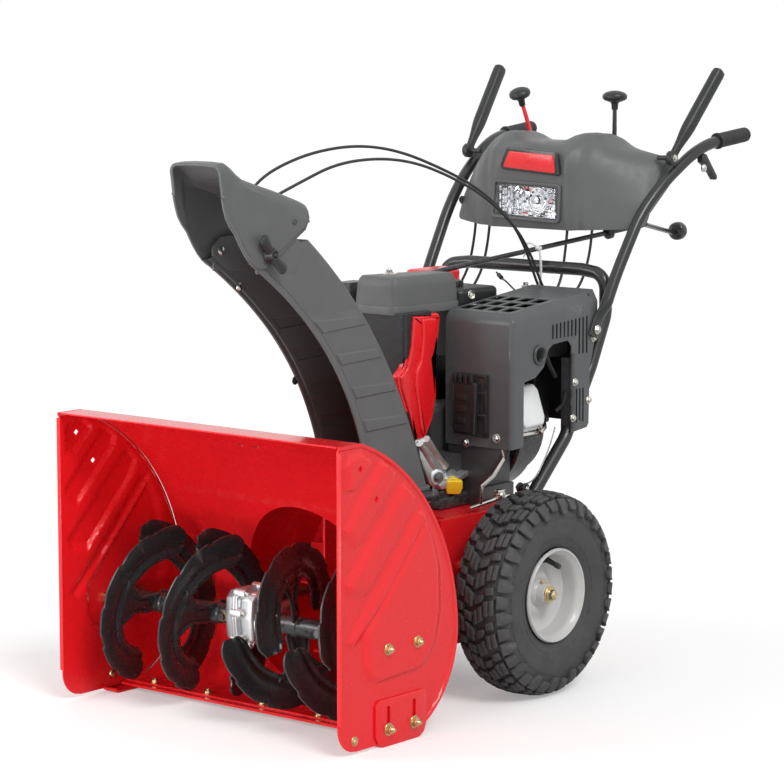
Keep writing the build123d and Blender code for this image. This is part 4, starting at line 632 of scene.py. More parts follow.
def side_plate(side, name):
    s = Shape()
    rows = []
    for k in range(PLATE_ROWS + 1):
        z = PLATE_LOW + (HOUSING_TOP - PLATE_LOW) * k / PLATE_ROWS
        a, b = plate_front(z), plate_back(z)
        slope = (plate_back(min(z + 1, HOUSING_TOP)) - plate_back(max(z - 1, PLATE_LOW))) / 2
        lean = 1 / sqrt(1 + slope * slope)
        row = []
        for i in range(PLATE_COLUMNS + 1):
            r = a + (b - a) * i / PLATE_COLUMNS
            h = max(panel_height(Vector((r, z)), *panel) for panel in PLATE_PANELS) * PRESSED
            edge = min((b - r) * lean, HOUSING_TOP - z)
            h = max(h, BEAD * ease((BEAD_WIDTH - edge) / 3.0))
            row.append(at(side * (HALF_WIDTH + PLATE_T + h), r, z))
        rows.append(row if side > 0 else list(reversed(row)))
    s.loft(rows, caps=False, closed=False)
    obj = s.piece(name, "red_paint", "chassis", name, solid=SHEET, keep_open=True, sharp=50)
    cutter = Shape()
    for r, z in DRIFT_HOLES:
        hole = [(r - DRIFT_R, z), (r, z - DRIFT_R), (r + DRIFT_R, z), (r, z + DRIFT_R)]
        cutter.prism(hole, side * HALF_WIDTH - 20, side * HALF_WIDTH + 20, side_view)
    carve(obj, cutter)
    add_bevel(obj, 0.7, 50)
    flange = Shape()
    x0, x1 = between(side, HALF_WIDTH, HALF_WIDTH + 9)
    flange.block((x0, -0.2, 58), (x1, 2.8, 526), 1.0)
    flange.piece(name + "_flange", "red_paint", "chassis")


side_plate(1, "side_plate_right")
side_plate(-1, "side_plate_left")

bolts = Shape()
for side in (1, -1):
    out = (side, 0, 0)
    for r in BEARING_BOLTS:
        bolts.bolt(at(side * (HALF_WIDTH + PLATE_T + PRESSED), r, 172), out, 8.2, 6.4, 10.5, 6, 3.8)
        bolts.lathe([(0, 0), (0, 7), (2.5, 6.4), (4.6, 4.4), (5.6, 0)],
                    at(side * (HALF_WIDTH - 0.3), r, 172), (-side, 0, 0), 20)
    for r in SKID_BOLTS:
        bolts.bolt(at(side * (HALF_WIDTH + 7.8), r, 30), out, 8.2, 7.4, 11.5, 8, 3.9)
        bolts.lathe([(0, 0), (0, 9), (2.2, 8.2), (3.6, 5), (4.0, 0)],
                    at(side * HALF_WIDTH, r, 30), (-side, 0, 0), 20)
    bolts.bolt(at(side * (HALF_WIDTH + PLATE_T), *CORNER_BOLT), out, 6.2, 3.4, 8.5)
for x in SCRAPER_BOLTS:
    bolts.bolt(at(x, 178, 13.6), UP, 7.5, 4.6, 9.5, 3, 3.8)
bolts.piece("housing_fasteners", "bronze", "chassis", "housing_fasteners")

# two hexagon heads under the housing's curved top
marks = Shape()
for x in (-26, 12):
    marks.lathe([(0, 0), (0, 5.5), (2.5, 5.2), (2.5, 0)], at(x, 152, 492), (0, -0.74, -0.67), 6)
marks.piece("wall_bolts", "dark_steel", "chassis")


# ---- skid shoes ----------------------------------------------------------------------------
SLOT_R, SLOT_HALF, SLOT_Z = 4.6, 18.5, 48       # adjusting slots in a skid


def skid(side, name, body):
    s = Shape()
    x0, x1 = between(side, HALF_WIDTH + 3.2, HALF_WIDTH + 7.7)
    outline = rounded([(95, 20), (104, 6), (114, 0), (212, 0), (226, 8),
                       (232, 22), (232, 84), (104, 84), (95, 76)],
                      [6, 4, 6, 6, 4, 6, 8, 8, 6], 3)
    s.prism(outline, x0, x1, side_view, 1.0)
    a, b = between(side, HALF_WIDTH - 30.5, HALF_WIDTH + 4)
    runner = rounded([(112, 0), (214, 0), (224, 6), (219, 9.5),
                      (211, 4.8), (115, 4.8), (107, 9.5), (102, 6)], 2, 2)
    s.prism(runner, a, b, side_view, 0.8)
    obj = s.piece(name, "red_paint", body, name)
    cutter = Shape()
    for r in SKID_BOLTS:
        slot = []
        for t in turns(24):
            end_z = SLOT_Z + (SLOT_HALF if sin(t) > 0 else -SLOT_HALF)
            slot.append((r + SLOT_R * cos(t), end_z + SLOT_R * sin(t)))
        cutter.prism(slot, x0 - 5, x1 + 5, side_view)
    carve(obj, cutter)
    add_bevel(obj, 0.5, 50)


skid(1, "skid_shoe_right", "skid_right")
skid(-1, "skid_shoe_left", "skid_left")


# ---- augers --------------------------------------------------------------------------------
AUGER = (163.0, 172.0)                          # rear and height of the shaft
PITCH, INNER_R, OUTER_R = 185.0, 89.0, 150.0
FLIGHTS = (95.0, 240.0)                         # distance of each flight from the middle
HALF_SWEEP, FLIGHT_STEPS = 94, 132              # degrees each side of a flight's arm
TEETH, TOOTH = 6, 4.2                           # serrations along a flight and their depth
TUBE_HOLE, TUBE_R = 12.8, 17.5
# the rolled section: shares of the width from the inner edge, and how far each stands out
SECTION = ((0.0, 3.6), (0.03, 4.4), (0.08, 3.4), (0.13, 0.6), (0.2, 0.4), (0.28, 3.6), (0.34, 4.6),
           (0.40, 3.6), (0.48, 0.4), (0.7, 0.0), (1.0, 0.0))


def auger(side, phase, name):
    def point(x, theta, r, across=0.0):
        y, z = -cos(theta) * r + sin(theta) * across, -sin(theta) * r - cos(theta) * across
        return at(side * x, AUGER[0] + y, AUGER[1] + z)

    sheet, solid = Shape(), Shape()
    for centre in FLIGHTS:
        for turn in (0.0, pi):
            rows = []
            for k in range(FLIGHT_STEPS + 1):
                phi = radians(-HALF_SWEEP + 2 * HALF_SWEEP * k / FLIGHT_STEPS)
                theta = turn - radians(phase) + phi
                notch = k * TEETH / FLIGHT_STEPS % 1.0
                end = min(k, FLIGHT_STEPS - k) / 7.0
                taper = 0.0 if end >= 1 else (1 - end) ** 2 * 14
                saw = TOOTH * min(1.0, max(0.0, (notch - 0.62) / 0.30)) * min(1.0, (1 - notch) / 0.05)
                outer = OUTER_R - saw - taper
                inner = INNER_R + taper
                x = centre + PITCH * phi / (2 * pi)
                rows.append([point(x + up, theta, inner + (outer - inner) * q) for q, up in SECTION])
            sheet.loft(rows, caps=False, closed=False)
            theta = turn - radians(phase)
            rows = []
            for k in range(13):
                r = 14.0 + (INNER_R + 10 - 14.0) * k / 12
                half = 20 + 34 * ease((r - 46) / 54) ** 1.3 - 3 * ease((r - 14) / 30)
                row = []
                for j in range(-8, 9):
                    t = j / 8
                    rib = 3.6 * (1 - ease((abs(abs(t) - 0.56)) / 0.2)) * ease((r - 18) / 12)
                    curl = 3.2 * ease((abs(t) - 0.86) / 0.14)
                    slope = 0.30 + 0.25 * (1 - ease((r - 20) / 70))
                    row.append(point(centre + t * half * slope + rib + curl, theta, r, t * half))
                rows.append(row)
            sheet.loft(rows, caps=False, closed=False)
    obj = sheet.piece(name, "black_paint", "auger", name, solid=3.6, offset=0.0, keep_open=True, sharp=40)
    add_bevel(obj, 1.1, 45, 2)
    end = HALF_WIDTH - 10
    profile = [(44, TUBE_HOLE), (44, TUBE_R - 1), (45.2, TUBE_R),
               (end - 1, TUBE_R), (end, TUBE_R - 1), (end, TUBE_HOLE)]
    solid.lathe(facing(side, profile), at(0, *AUGER), RIGHT, 40)
    for centre in FLIGHTS:
        collar = [(centre - 15, 17.3), (centre - 12, 19.2), (centre + 12, 19.2), (centre + 15, 17.3)]
        solid.lathe(facing(side, collar), at(0, *AUGER), RIGHT, 40)
    solid.piece(name + "_tube", "black_paint", "auger")


auger(1, 82.0, "auger_right")
auger(-1, 4.0, "auger_left")
pins = Shape()
for x in (-168, -62, 62, 168):
    pins.bolt(at(x, AUGER[0] - 19.5, AUGER[1]), FRONT, 7.0, 5.0, 8.6)
    pins.bolt(at(x, AUGER[0] + 17.0, AUGER[1]), REAR, 7.0, 5.0, 8.6, 5, 3.2)
pins.piece("shear_bolts", "bronze", "auger")

# ---- chute ---------------------------------------------------------------------------------
CHUTE_X, CHUTE_HALF = 80.0, 52.0


def through(knots):
    """The smooth curve rear(z) through (rear, z) points."""
    def value(z):
        total = 0.0
        for i, (r, zi) in enumerate(knots):
            share = r
            for j, (_, zj) in enumerate(knots):
                if j != i:
                    share *= (z - zj) / (zi - zj)
            total += share
        return total
    return value


chute_front = through([(0, 832), (167, 700), (292, 501), (324, 380)])
chute_back = through([(164, 863), (336, 690), (451, 493), (496, 380)])
# each station: its height at the front and at the back edge, and 1 where a rib stands out
STATIONS = [(380, 380, 0), (445, 443, 0), (474, 470, 0), (506, 510, 0), (508.5, 512.5, 1), (529, 525, 1),
            (531.5, 527.5, 0), (549, 549, 0), (569.5, 574.5, 0), (572, 577, 1), (590, 589, 1),
            (592.5, 591.5, 0), (612, 612, 0), (633, 639, 0), (635.5, 641.5, 1), (653, 654.5, 1),
            (655.5, 657, 0), (675, 678, 0), (694, 702, 0), (696.5, 704.5, 1), (717.5, 716.5, 1),
            (720, 719, 0), (745, 752, 0), (772, 786, 0), (800, 822, 0), (818, 845, 0), (832, 863, 0)]


def chute_ring_points(front_z, back_z, rib):
    """The chute's open section: right cheek from its flanged edge, back, and left cheek."""
    f, b = chute_front(front_z), chute_back(back_z)
    length = hypot(b - f, back_z - front_z)
    half = []
    for d, out in ((0, 2.6), (1.5, 3.0), (14.5, 3.0), (16, 2.4), (16.5, -0.6), (19, -0.6), (20, 0), (23, 0),
                   (25.5, 1.9 * rib), (length * 0.5, 1.9 * rib), (length - 16.5, 1.9 * rib),
                   (length - 14, 0), (length - 10, 0)):
        share = d / length
        half.append((CHUTE_HALF + out, f + (b - f) * share, front_z + (back_z - front_z) * share))
    for k in range(1, 6):
        t = k / 5 * pi / 2
        share = (length - 10 + 10 * sin(t)) / length
        half.append((CHUTE_HALF - 10 + 10 * cos(t),
                     f + (b - f) * share, front_z + (back_z - front_z) * share))
    ring = [at(CHUTE_X + x, r, z) for x, r, z in half]
    ring += [at(CHUTE_X, half[-1][1], half[-1][2])]
    ring += [at(CHUTE_X - x, r, z) for x, r, z in reversed(half)]
    return ring


chute = Shape()
fine = []
for (a0, a1, a2), (b0, b1, b2) in zip(STATIONS[:-1], STATIONS[1:]):
    steps = max(1, int((b0 - a0) / 9))
    for k in range(steps):
        share = k / steps
        fine.append((a0 + (b0 - a0) * share, a1 + (b1 - a1) * share, a2 + (b2 - a2) * share))
fine.append(STATIONS[-1])
chute.loft([chute_ring_points(*row) for row in fine], caps=False, closed=False)
chute.piece("chute", "cover_plastic", "chute", "chute", solid=3.5, keep_open=True, sharp=28, bevel=0.5)
ears = Shape()
ear = rounded([(24, 812), (22, 852), (44, 871), (120, 873), (152, 850), (126, 806)],
              [4, 14, 14, 14, 14, 4], 4)
for side in (1, -1):
    x0, x1 = [CHUTE_X + x for x in between(side, CHUTE_HALF - 3.8, CHUTE_HALF + 0.25)]
    ears.prism(ear, x0, x1, side_view, 0.8)
ears.prism(rect(CHUTE_X - 70, CHUTE_X - 50, 96, 124), 798, 822, top_view, 1.5)
# skirt between the chute and its ring
for x0, x1, r0, r1 in ((24, 136, 318, 326), (24, 32, 324, 500), (128, 136, 324, 500), (24, 136, 492, 500)):
    ears.prism(rect(x0, x1, r0, r1), 380, 388, top_view, 1.2)
ears.piece("chute_ears", "cover_plastic", "chute")
studs = Shape()
for r, z, x, out in ((200, 700, 28, -1), (44, 846, 31.5, 1), (90, 780, 31.5, 1), (240, 600, 28, -1)):
    studs.lathe([(0, 0), (0, 8), (1.5, 7.6), (3.6, 5), (4.4, 0)], at(x, r, z), (out, 0, 0), 20)
studs.piece("chute_bolts", "steel", "chute")

# ---- deflector hood ------------------------------------------------------------------------
HOOD_HALF = 55.3
over = [(-74, 1000), (-62, 1001.5), (-52, 1002), (-40, 995), (-26, 984), (-10, 974), (12, 967), (36, 960),
        (60, 953.5), (82, 947), (104, 940), (124, 933.5), (142, 927.5), (152, 923), (157, 916), (158, 909)]
under = [(-66, 946), (-62, 930), (-56, 912), (-46, 897), (-34, 884), (-22, 864), (-8, 845), (4, 833),
         (16, 824.5), (30, 821.5), (44, 822.5), (58, 829), (74, 840), (100, 856), (124, 871), (146, 884)]
CHEEK = ([(-46, 976), (100, 930), (140, 908), (150, 896), (140, 884), (78, 846), (34, 833), (0, 846),
          (-30, 882), (-42, 926)], [5, 5, 5, 4, 5, 4, 4, 4, 4, 5])


def hood_row(top, low):
    """Up the right cheek, over the top and down the left cheek, at one station."""
    top, low = Vector(top), Vector(low)
    wall = (top - low).length
    bend = min(14.0, wall * 0.45)
    cheek = []
    for k in range(15):
        p = low + (top - low) * ((wall - bend) / wall * k / 14)
        lift = 2.6 * panel_height(p, *CHEEK)
        if k == 0:
            lift = max(lift, 2.2)
        cheek.append((HOOD_HALF + lift, p))
    for k in range(1, 7):
        t = k / 6 * pi / 2
        p = low + (top - low) * ((wall - bend + bend * sin(t)) / wall)
        cheek.append((HOOD_HALF - bend + bend * cos(t), p))
    row = [at(CHUTE_X + x, p.x, p.y) for x, p in cheek]
    row += [at(CHUTE_X + x, top.x, top.y + 1.2) for x in (20, 0, -20)]
    return row + [at(CHUTE_X - x, p.x, p.y) for x, p in reversed(cheek)]


def refine(points, parts):
    out = []
    for p, q in zip(points[:-1], points[1:]):
        out += [Vector(p).lerp(Vector(q), k / parts) for k in range(parts)]
    return out + [Vector(points[-1])]


hood = Shape()
hood.loft([hood_row(p, q) for p, q in zip(refine(over, 3), refine(under, 3))], caps=False, closed=False)
hood.piece("deflector", "cover_plastic", "deflector", "deflector",
           solid=3.0, keep_open=True, sharp=34, bevel=0.5)
bead = Shape()
mouth = hood_row(over[0], under[0])
bead.tube([p + Vector((0, 0.002, 0)) for p in mouth], 2.4, 10)
bead.tube([at(CHUTE_X + HOOD_HALF + 0.6, p[0], p[1]) for p in under], 2.2, 10)
bead.tube([at(CHUTE_X - HOOD_HALF - 0.6, p[0], p[1]) for p in under], 2.2, 10)
bead.tube([at(CHUTE_X + x, 155, 896) for x in (-56, -30, 0, 30, 56)], 3.0, 10)
bead.piece("hood_bead", "cover_plastic", "deflector")


def wing_knob(side, name, body):
    """A two-winged clamping knob on the hood's pivot bolt."""
    s = Shape()
    hub = at(CHUTE_X + side * (HOOD_HALF + 2.5), 44, 846)
    out = Vector((side, 0, 0))
    s.lathe([(0, 0), (0, 14), (1.5, 15), (4, 15), (5.5, 13), (9, 11.5), (15, 10.5), (19, 9), (20, 6),
             (17, 5.5), (17, 0)], hub, out, 32)
    s.lathe([(14, 0), (14, 4), (21.5, 3.9), (22.5, 3.2), (22.5, 0)], hub, out, 16)
    tip = Vector((0, 53, -60)).normalized()
    for way in (1, -1):
        d = tip * way
        across = out.cross(d)
        rings = []
        for k in range(9):
            q = k / 8
            reach = 6 + 34 * q
            wide = 7.5 + 3.2 * q if q < 0.9 else 8.5
            thick = (8.5 - 3.0 * q) * (1.0 if q < 0.9 else 0.6)
            middle = hub + d * reach * MM + out * (9 + 7 * q) * MM
            rings.append([middle + across * wide * cos(t) * MM + out * thick * sin(t) * MM
                          for t in turns(18)])
        last = rings[-1]
        centre = sum(last, Vector()) / len(last)
        rings.append([centre + (p - centre) * 0.5 + d * 2.4 * MM for p in last])
        s.loft(rings)
    s.piece(name, "black_plastic", body, name, sharp=40)


wing_knob(-1, "deflector_knob_left", "knob_left")
wing_knob(1, "deflector_knob_right", "knob_right")
rivets = Shape()
for side in (1, -1):
    rivets.bolt(at(CHUTE_X + side * (HOOD_HALF + 2.4), 112, 897), (side, 0, 0), 6.0, 4.0, 8.0)
    rivets.lathe([(0, 0), (0, 7), (2, 6), (3.2, 0)],
                 at(CHUTE_X + side * (HOOD_HALF - 3), 44, 846), (-side, 0, 0), 18)
rivets.piece("hood_bolts", "black_paint", "deflector")

# ---- console -------------------------------------------------------------------------------
CENTRE_LINE = [(1044, 866), (1020, 858), (984, 829), (976, 830), (974, 842), (973.5, 850), (973.5, 862),
               (973, 884), (973, 898), (973, 912), (973, 924), (972.5, 936), (972.5, 948), (973.5, 960),
               (976, 970), (981, 980), (989, 989), (999, 995), (1012, 999.5), (1028, 1001.5), (1046, 1002),
               (1066, 1002), (1086, 1001.5), (1104, 1000), (1124, 995.5), (1144, 989), (1160, 981),
               (1172, 972), (1180, 960), (1184, 944), (1184, 924)]
SIDE_LINE = [(1064, 862), (1058, 850), (1046, 836), (1040, 836), (1040, 842), (1042, 848), (1045, 854),
             (1049, 866), (1053, 874), (1057, 882), (1062, 890), (1067, 898), (1073, 907), (1079, 916),
             (1085, 924), (1090, 931), (1095, 938), (1100, 944), (1105, 950), (1110, 955), (1115, 960),
             (1120, 964), (1125, 967), (1129, 969), (1134, 969.5), (1139, 969), (1143, 967), (1147, 963),
             (1149, 956), (1150, 944), (1150, 928)]
LAMP_X = (-74.0, 66.0)


def console_point(x, k):
    """Point k of the console's section at x: the middle section blended into the side one."""
    a, b = Vector(CENTRE_LINE[k]), Vector(SIDE_LINE[k])
    away = max(0.0, abs(x) - 96) / 132.0
    line = a.lerp(b, min(1.0, away ** 1.25) if k > 2 else min(1.0, away))
    front = 1 - ease((k - 17) / 5) if k >= 2 else 0.3 * k
    ridge = exp(-((abs(x) - 92) / 6.5) ** 2)
    valley = exp(-((abs(x) - 112) / 11.0) ** 2)
    fold = exp(-((abs(x) - 142 - 0.16 * (line.y - 900)) / 9.0) ** 2)
    line.x += front * (-4.0 * ridge + 6.5 * valley - 2.5 * fold)
    hump = exp(-(((abs(x) - 98) / 40) ** 2) ** 1.6) * ease((line.x - 992) / 46)
    line.y += 17.0 * (hump * (1 - ease((line.x - 1118) / 50)))
    edge = ease((abs(x) - 216) / 12.0)
    middle = Vector((1100, 915))
    line = line.lerp(middle, 0.035 * edge * edge)
    return at(x, line.x, line.y)


# places of the sections across the console, closer together where its front is creased
HALF_XS = [10, 20, 32, 44, 56, 66, 74, 78, 82, 86, 90, 94, 98, 102, 107, 112, 118, 124, 131, 138, 145, 152,
           162, 174, 186, 198, 208, 217, 223, 226.5, 228]
xs = [-x for x in reversed(HALF_XS)] + [0] + HALF_XS
console = Shape()
console.verts = [console_point(x, k) for x in xs for k in range(len(CENTRE_LINE))]
count = len(CENTRE_LINE)
for i in range(len(xs) - 1):
    for k in range(count - 1):
        in_lamp = LAMP_X[0] <= xs[i] and xs[i + 1] <= LAMP_X[1] and 5 <= k < 9
        if not in_lamp:
            console.faces.append([i * count + k, (i + 1) * count + k,
                                  (i + 1) * count + k + 1, i * count + k + 1])
console.faces.append(list(range(count)))
console.faces.append(list(reversed(range((len(xs) - 1) * count, len(xs) * count))))
shell = console.piece("console", "cover_plastic", "chassis", "console", solid=3.0, keep_open=True, sharp=40)
slots = Shape()
for x in (-95, 95):
    slot = rounded(rect(x - 10, x + 10, 1054, 1168), 9, 4)
    slots.prism(slot, 935, 1060, top_view)
carve(shell, slots)

# the bezel round the badge, the badge left bare, then the frame round the lamp
trim = Shape()
bezel = rounded([(-50, 990), (74, 984), (82, 936), (-70, 946)], [10, 10, 9, 9], 4)
trim.prism(bezel, -974.5, -966, front_view, 2.0)
trim.piece("badge_bezel", "black_paint", "chassis", bevel=0.4)
badge = Shape()
badge.prism(rounded([(-43, 982), (66, 977), (71, 941), (-58, 950)], 5, 4),
            -969.5, -964.2, front_view, 1.6)
badge.piece("badge", "red_plastic", "chassis")
frame_out = rounded([(-86, 926), (82, 920), (78, 842), (-92, 848)], 12, 5)
frame_in = inset(frame_out, 8)
surround = Shape()
rings = [[at(p.x, 976, p.y) for p in frame_out], [at(p.x, 969.5, p.y) for p in frame_out],
         [at(p.x, 968.2, p.y) for p in inset(frame_out, 1.6)],
         [at(p.x, 968.6, p.y) for p in inset(frame_out, 6)],
         [at(p.x, 974, p.y) for p in frame_in], [at(p.x, 984, p.y) for p in frame_in]]
surround.loft(rings, caps=False)
surround.piece("lamp_surround", "cover_plastic", "chassis", bevel=0.4)

lens_out = rounded([(-79, 917), (74, 911), (69, 851), (-84, 857)], 7, 4)
glass = Shape()
glass.prism(lens_out, -975, -970.5, front_view, 1.6)
for k in range(9):
    x = -72 + 7.0 * k
    glass.prism([(x, 908), (x + 5, 908), (x + 4, 862), (x - 1, 862)], -977.5, -975.2, front_view, 0.8)
glass.piece("headlamp_lens", "lamp_lens", "chassis", "headlamp_lens")
lamp = Shape()
rows = []
for i in range(25):
    x = -82 + 154 * i / 24
    row = []
    for j in range(13):
        z = 853 + 62 * j / 12
        bowl = 20 * (1 - ((x - 20) / 62) ** 2) * (1 - ((z - 884) / 44) ** 2) if x > -42 else 5 + 4 * (i % 2)
        facet = 1.6 * ((i + 2 * j) % 3)
        row.append(at(x, 979 + max(2.0, bowl) + facet, z))
    rows.append(row)
lamp.loft(rows, caps=False, closed=False)
lamp.lathe([(-8, 0), (-8, 7), (-4, 9.5), (8, 9.5), (12, 6.5), (14, 0)], at(20, 984, 886), (0, -1, 0.1), 24)
lamp.lathe([(0, 15.5), (0, 13.5), (3, 13.5), (3, 15.5)], at(20, 980, 886), FRONT, 30, loop=True)
lamp.lathe([(0, 24), (0, 22.8), (3, 22.8), (3, 24)], at(20, 982, 886), FRONT, 30, loop=True)
lamp.prism([(-46, 912), (-43, 912), (-46, 858), (-49, 858)], -990, -979, front_view, 0.6)
lamp.prism([(-70, 872), (60, 868), (60, 866), (-70, 870)], -988, -980, front_view, 0.5)
lamp.piece("headlamp", "lamp_chrome", "chassis", "headlamp", sharp=20, keep_open=True)

heads = Shape()
for side in (1, -1):
    for r, z in ((1094, 913), (1053, 873)):
        heads.lathe([(0, 0), (0, 8.6), (1.4, 8.6), (1.9, 7.2), (4.2, 6.4), (5.2, 4), (5.4, 0)],
                    at(side * 228.5, r, z), (side, 0, 0), 22)
        heads.lathe([(5.0, 0), (5.0, 3), (6.6, 2.8), (6.6, 0)], at(side * 228.5, r, z), (side, 0, 0), 6)
    heads.lathe([(0, 0), (0, 8), (3, 8), (5, 6), (6, 0)], at(side * 278, 1176, 950), (side, 0, 0), 20)
heads.piece("handle_bolts", "steel", "chassis")

# ---- handles' levers, grips and knobs ------------------------------------------------------
PIVOT, TIP = (252.0, 1103.0, 972.0), (272.0, 1234.0, 1135.0)


def hand_lever(side, name, body):
    s = Shape()
    a, b = at(side * PIVOT[0], *PIVOT[1:]), at(side * TIP[0], *TIP[1:])
    d = (b - a).normalized()
    across = d.cross(Vector((side, 0, 0))).normalized()
    flat = across.cross(d)
    long = (b - a).length / MM
    rings = []
    for k in range(33):
        q = k / 32
        reach = -9 + (long + 21) * q
        end = min(reach + 9, long + 12 - reach)
        close = sqrt(max(0.0, 1 - (1 - min(1.0, end / 12)) ** 2))
        grow = 9.0 + 4.2 * ease((q - 0.12) / 0.25)
        wide, thick = grow * close + 0.02, (6.0 + 5.2 * ease((q - 0.1) / 0.3)) * close + 0.02
        ring = []
        for t in turns(22):
            c, e = cos(t), sin(t)
            square = (abs(c) ** 3 + abs(e) ** 3) ** (-1 / 3)
            ring.append(a + (d * reach + across * wide * c * square + flat * thick * e * square) * MM)
        rings.append(ring)
    s.loft(rings)
    s.lathe([(-6, 0), (-6, 13), (-4, 14.5), (5, 14.5), (7, 13), (7, 0)], a, (side, 0, 0), 28)
    s.lathe([(-32, 0), (-32, 5), (-5, 5), (-5, 0)], a, (side, 0, 0), 16)
    s.piece(name, "black_plastic", body, name, sharp=40)
    pin = Shape()
    pin.lathe([(0, 0), (0, 7.5), (1.5, 7.5), (2, 5.5), (4.5, 5), (5, 0)],
              a + Vector((side * 7 * MM, 0, 0)), (side, 0, 0), 6)
    pin.piece(name + "_pin", "steel", body)


hand_lever(1, "drive_lever", "drive_lever")
hand_lever(-1, "auger_lever", "auger_lever")
grips = Shape()
for side in (1, -1):
    a, b = at(side * 264.2, 1244, 1000.5), at(side * 268.2, 1344, 1011.0)
    d = (b - a).normalized()
    long = (b - a).length / MM
    profile = [(0, 12.6), (0, 15.4), (1.5, 16.4), (4.5, 16.4), (6, 15.4), (7, 14.2)]
    for k in range(20):
        s0 = 8 + (long - 20) * k / 19
        profile += [(s0, 14.1), (s0 + 1.2, 14.9), (s0 + 2.6, 14.9), (s0 + 3.4, 14.1)]
    profile += [(long - 6, 14.6), (long - 3, 14.6), (long, 13.0), (long + 2.5, 9), (long + 3, 0)]
    grips.lathe(profile, a, d, 36)
grips.piece("grips", "grip_rubber", "chassis", "grips", sharp=50)

trigger_side = rounded([(1186, 970), (1192, 978), (1201, 977), (1209, 968), (1224, 951), (1241, 932),
                        (1240, 925), (1233, 924), (1219, 939), (1198, 955), (1187, 961)],
                       [4, 4, 4, 6, 8, 4, 3, 5, 8, 8, 4], 3)
for side, name in ((1, "trigger_right"), (-1, "trigger_left")):
    s = Shape()
    x0, x1 = between(side, 256.2, 269.8)
    s.prism(trigger_side, x0, x1, side_view, 2.0, 3)
    s.piece(name, "black_plastic", name, name)


def selector(x, lean, long, width, name, body, stem):
    """A flat stem from its pivot up through the slot, with a mushroom knob."""
    a = at(x, 1132, 930)
    d = Vector((lean[0], lean[1], 1)).normalized()
    rod, knob = Shape(), Shape()
    rings = []
    for k in range(13):
        q = k / 12
        bow = 6.0 * sin(pi * q) * (1 if lean[1] < -0.1 else 0)
        p = a + d * (long - 14) * q * MM + Vector((0, bow, 0)) * MM
        half = 7.0 - 2.2 * q
        rings.append([p + Vector((u, v, 0)) * MM for u, v in
                      rounded(rect(-2.2, 2.2, -half, half), 1.4, 2)])
    rod.loft(rings)
    rod.lathe([(-15.6, 0), (-15.6, 5.9), (15.6, 5.9), (15.6, 0)], a, RIGHT, 20)
    rod.piece(name, stem, body, name)
    w = width / 2
    top = a + d * long * MM
    profile = [(-26, 0), (-26, 5.4), (-24, 6.4), (-15, 7.0), (-11.5, 8.4),
               (-9.0, w * 0.62), (-7, w * 0.84), (-3.5, w * 0.97), (0, w), (3.2, w * 0.98),
               (7, w * 0.86), (10, w * 0.62), (12, w * 0.34), (12.6, 0)]
    knob.lathe(profile, top, d, 40)
    knob.piece(name + "_knob", "black_plastic", body, sharp=50)


selector(-95, (-0.02, -0.36), 172, 44, "speed_lever", "speed_lever", "red_plastic")
selector(95, (0.0, 0.0), 158, 50, "pitch_lever", "pitch_lever", "black_plastic")

# the spoked knob on the chute crank, and the eye that carries the rod
knob = Shape()
centre, way = at(67.5, 1398, 802.5), (at(67, 1420, 803) - at(70, 1380, 801)).normalized()
knob.lathe([(-7, 0), (-7, 8), (-5, 9), (-2, 16), (0, 18), (6, 19), (12, 18.5), (15, 17.5), (15, 14.5),
            (11, 14), (9.5, 0)], centre, way, 40)
knob.lathe([(9, 0), (9, 5), (15.5, 4.4), (15.5, 0)], centre, way, 20)
_, u, v = frame_of(way)
for t in turns(6):
    arm = u * cos(t) + v * sin(t)
    knob.tube([centre + (way * 12.5 + arm * 3) * MM, centre + (way * 12.5 + arm * 15) * MM], 1.7, 8)
knob.piece("crank_knob", "black_plastic", "crank", sharp=40)
eye = Shape()
along_rod = (at(100, 1128, 820) - at(-98.8, 547, 731)).normalized()
spot = at(100, 1128, 820) - along_rod * 14 * MM
eye.lathe([(-7, 6.4), (-7, 11), (-5, 13), (5, 13), (7, 11), (7, 6.4)], spot, along_rod, 28, loop=True)
eye.tube([spot + Vector((0.0, 0.0, 0.011)), spot + Vector((0.004, 0.004, 0.030)),
          spot + Vector((0.006, 0.006, 0.052)), spot + Vector((0.006, 0.006, 0.066))],
         [6, 5, 5, 7], 12)
eye.piece("rod_eye", "black_plastic", "chassis")

# ---- muffler shield ------------------------------------------------------------------------
SHIELD_X0, SHIELD_X1, SHIELD_FRONT = 59.0, 216.3, 636.0


def shield_edge(r):
    return 685.0 + 0.077 * (r - SHIELD_FRONT)


def shield_top(r):
    return 698.5 + 0.107 * (r - 650.0)


def shield_low(r):
    """The height of the shield's lower edge at a depth."""
    knots = [(636, 444), (820, 456), (876, 462), (882, 470), (884, 576), (902, 636), (908, 690)]
    for (a, za), (b, zb) in zip(knots[:-1], knots[1:]):
        if r <= b:
            return za + (zb - za) * (r - a) / (b - a)
    return knots[-1][1]


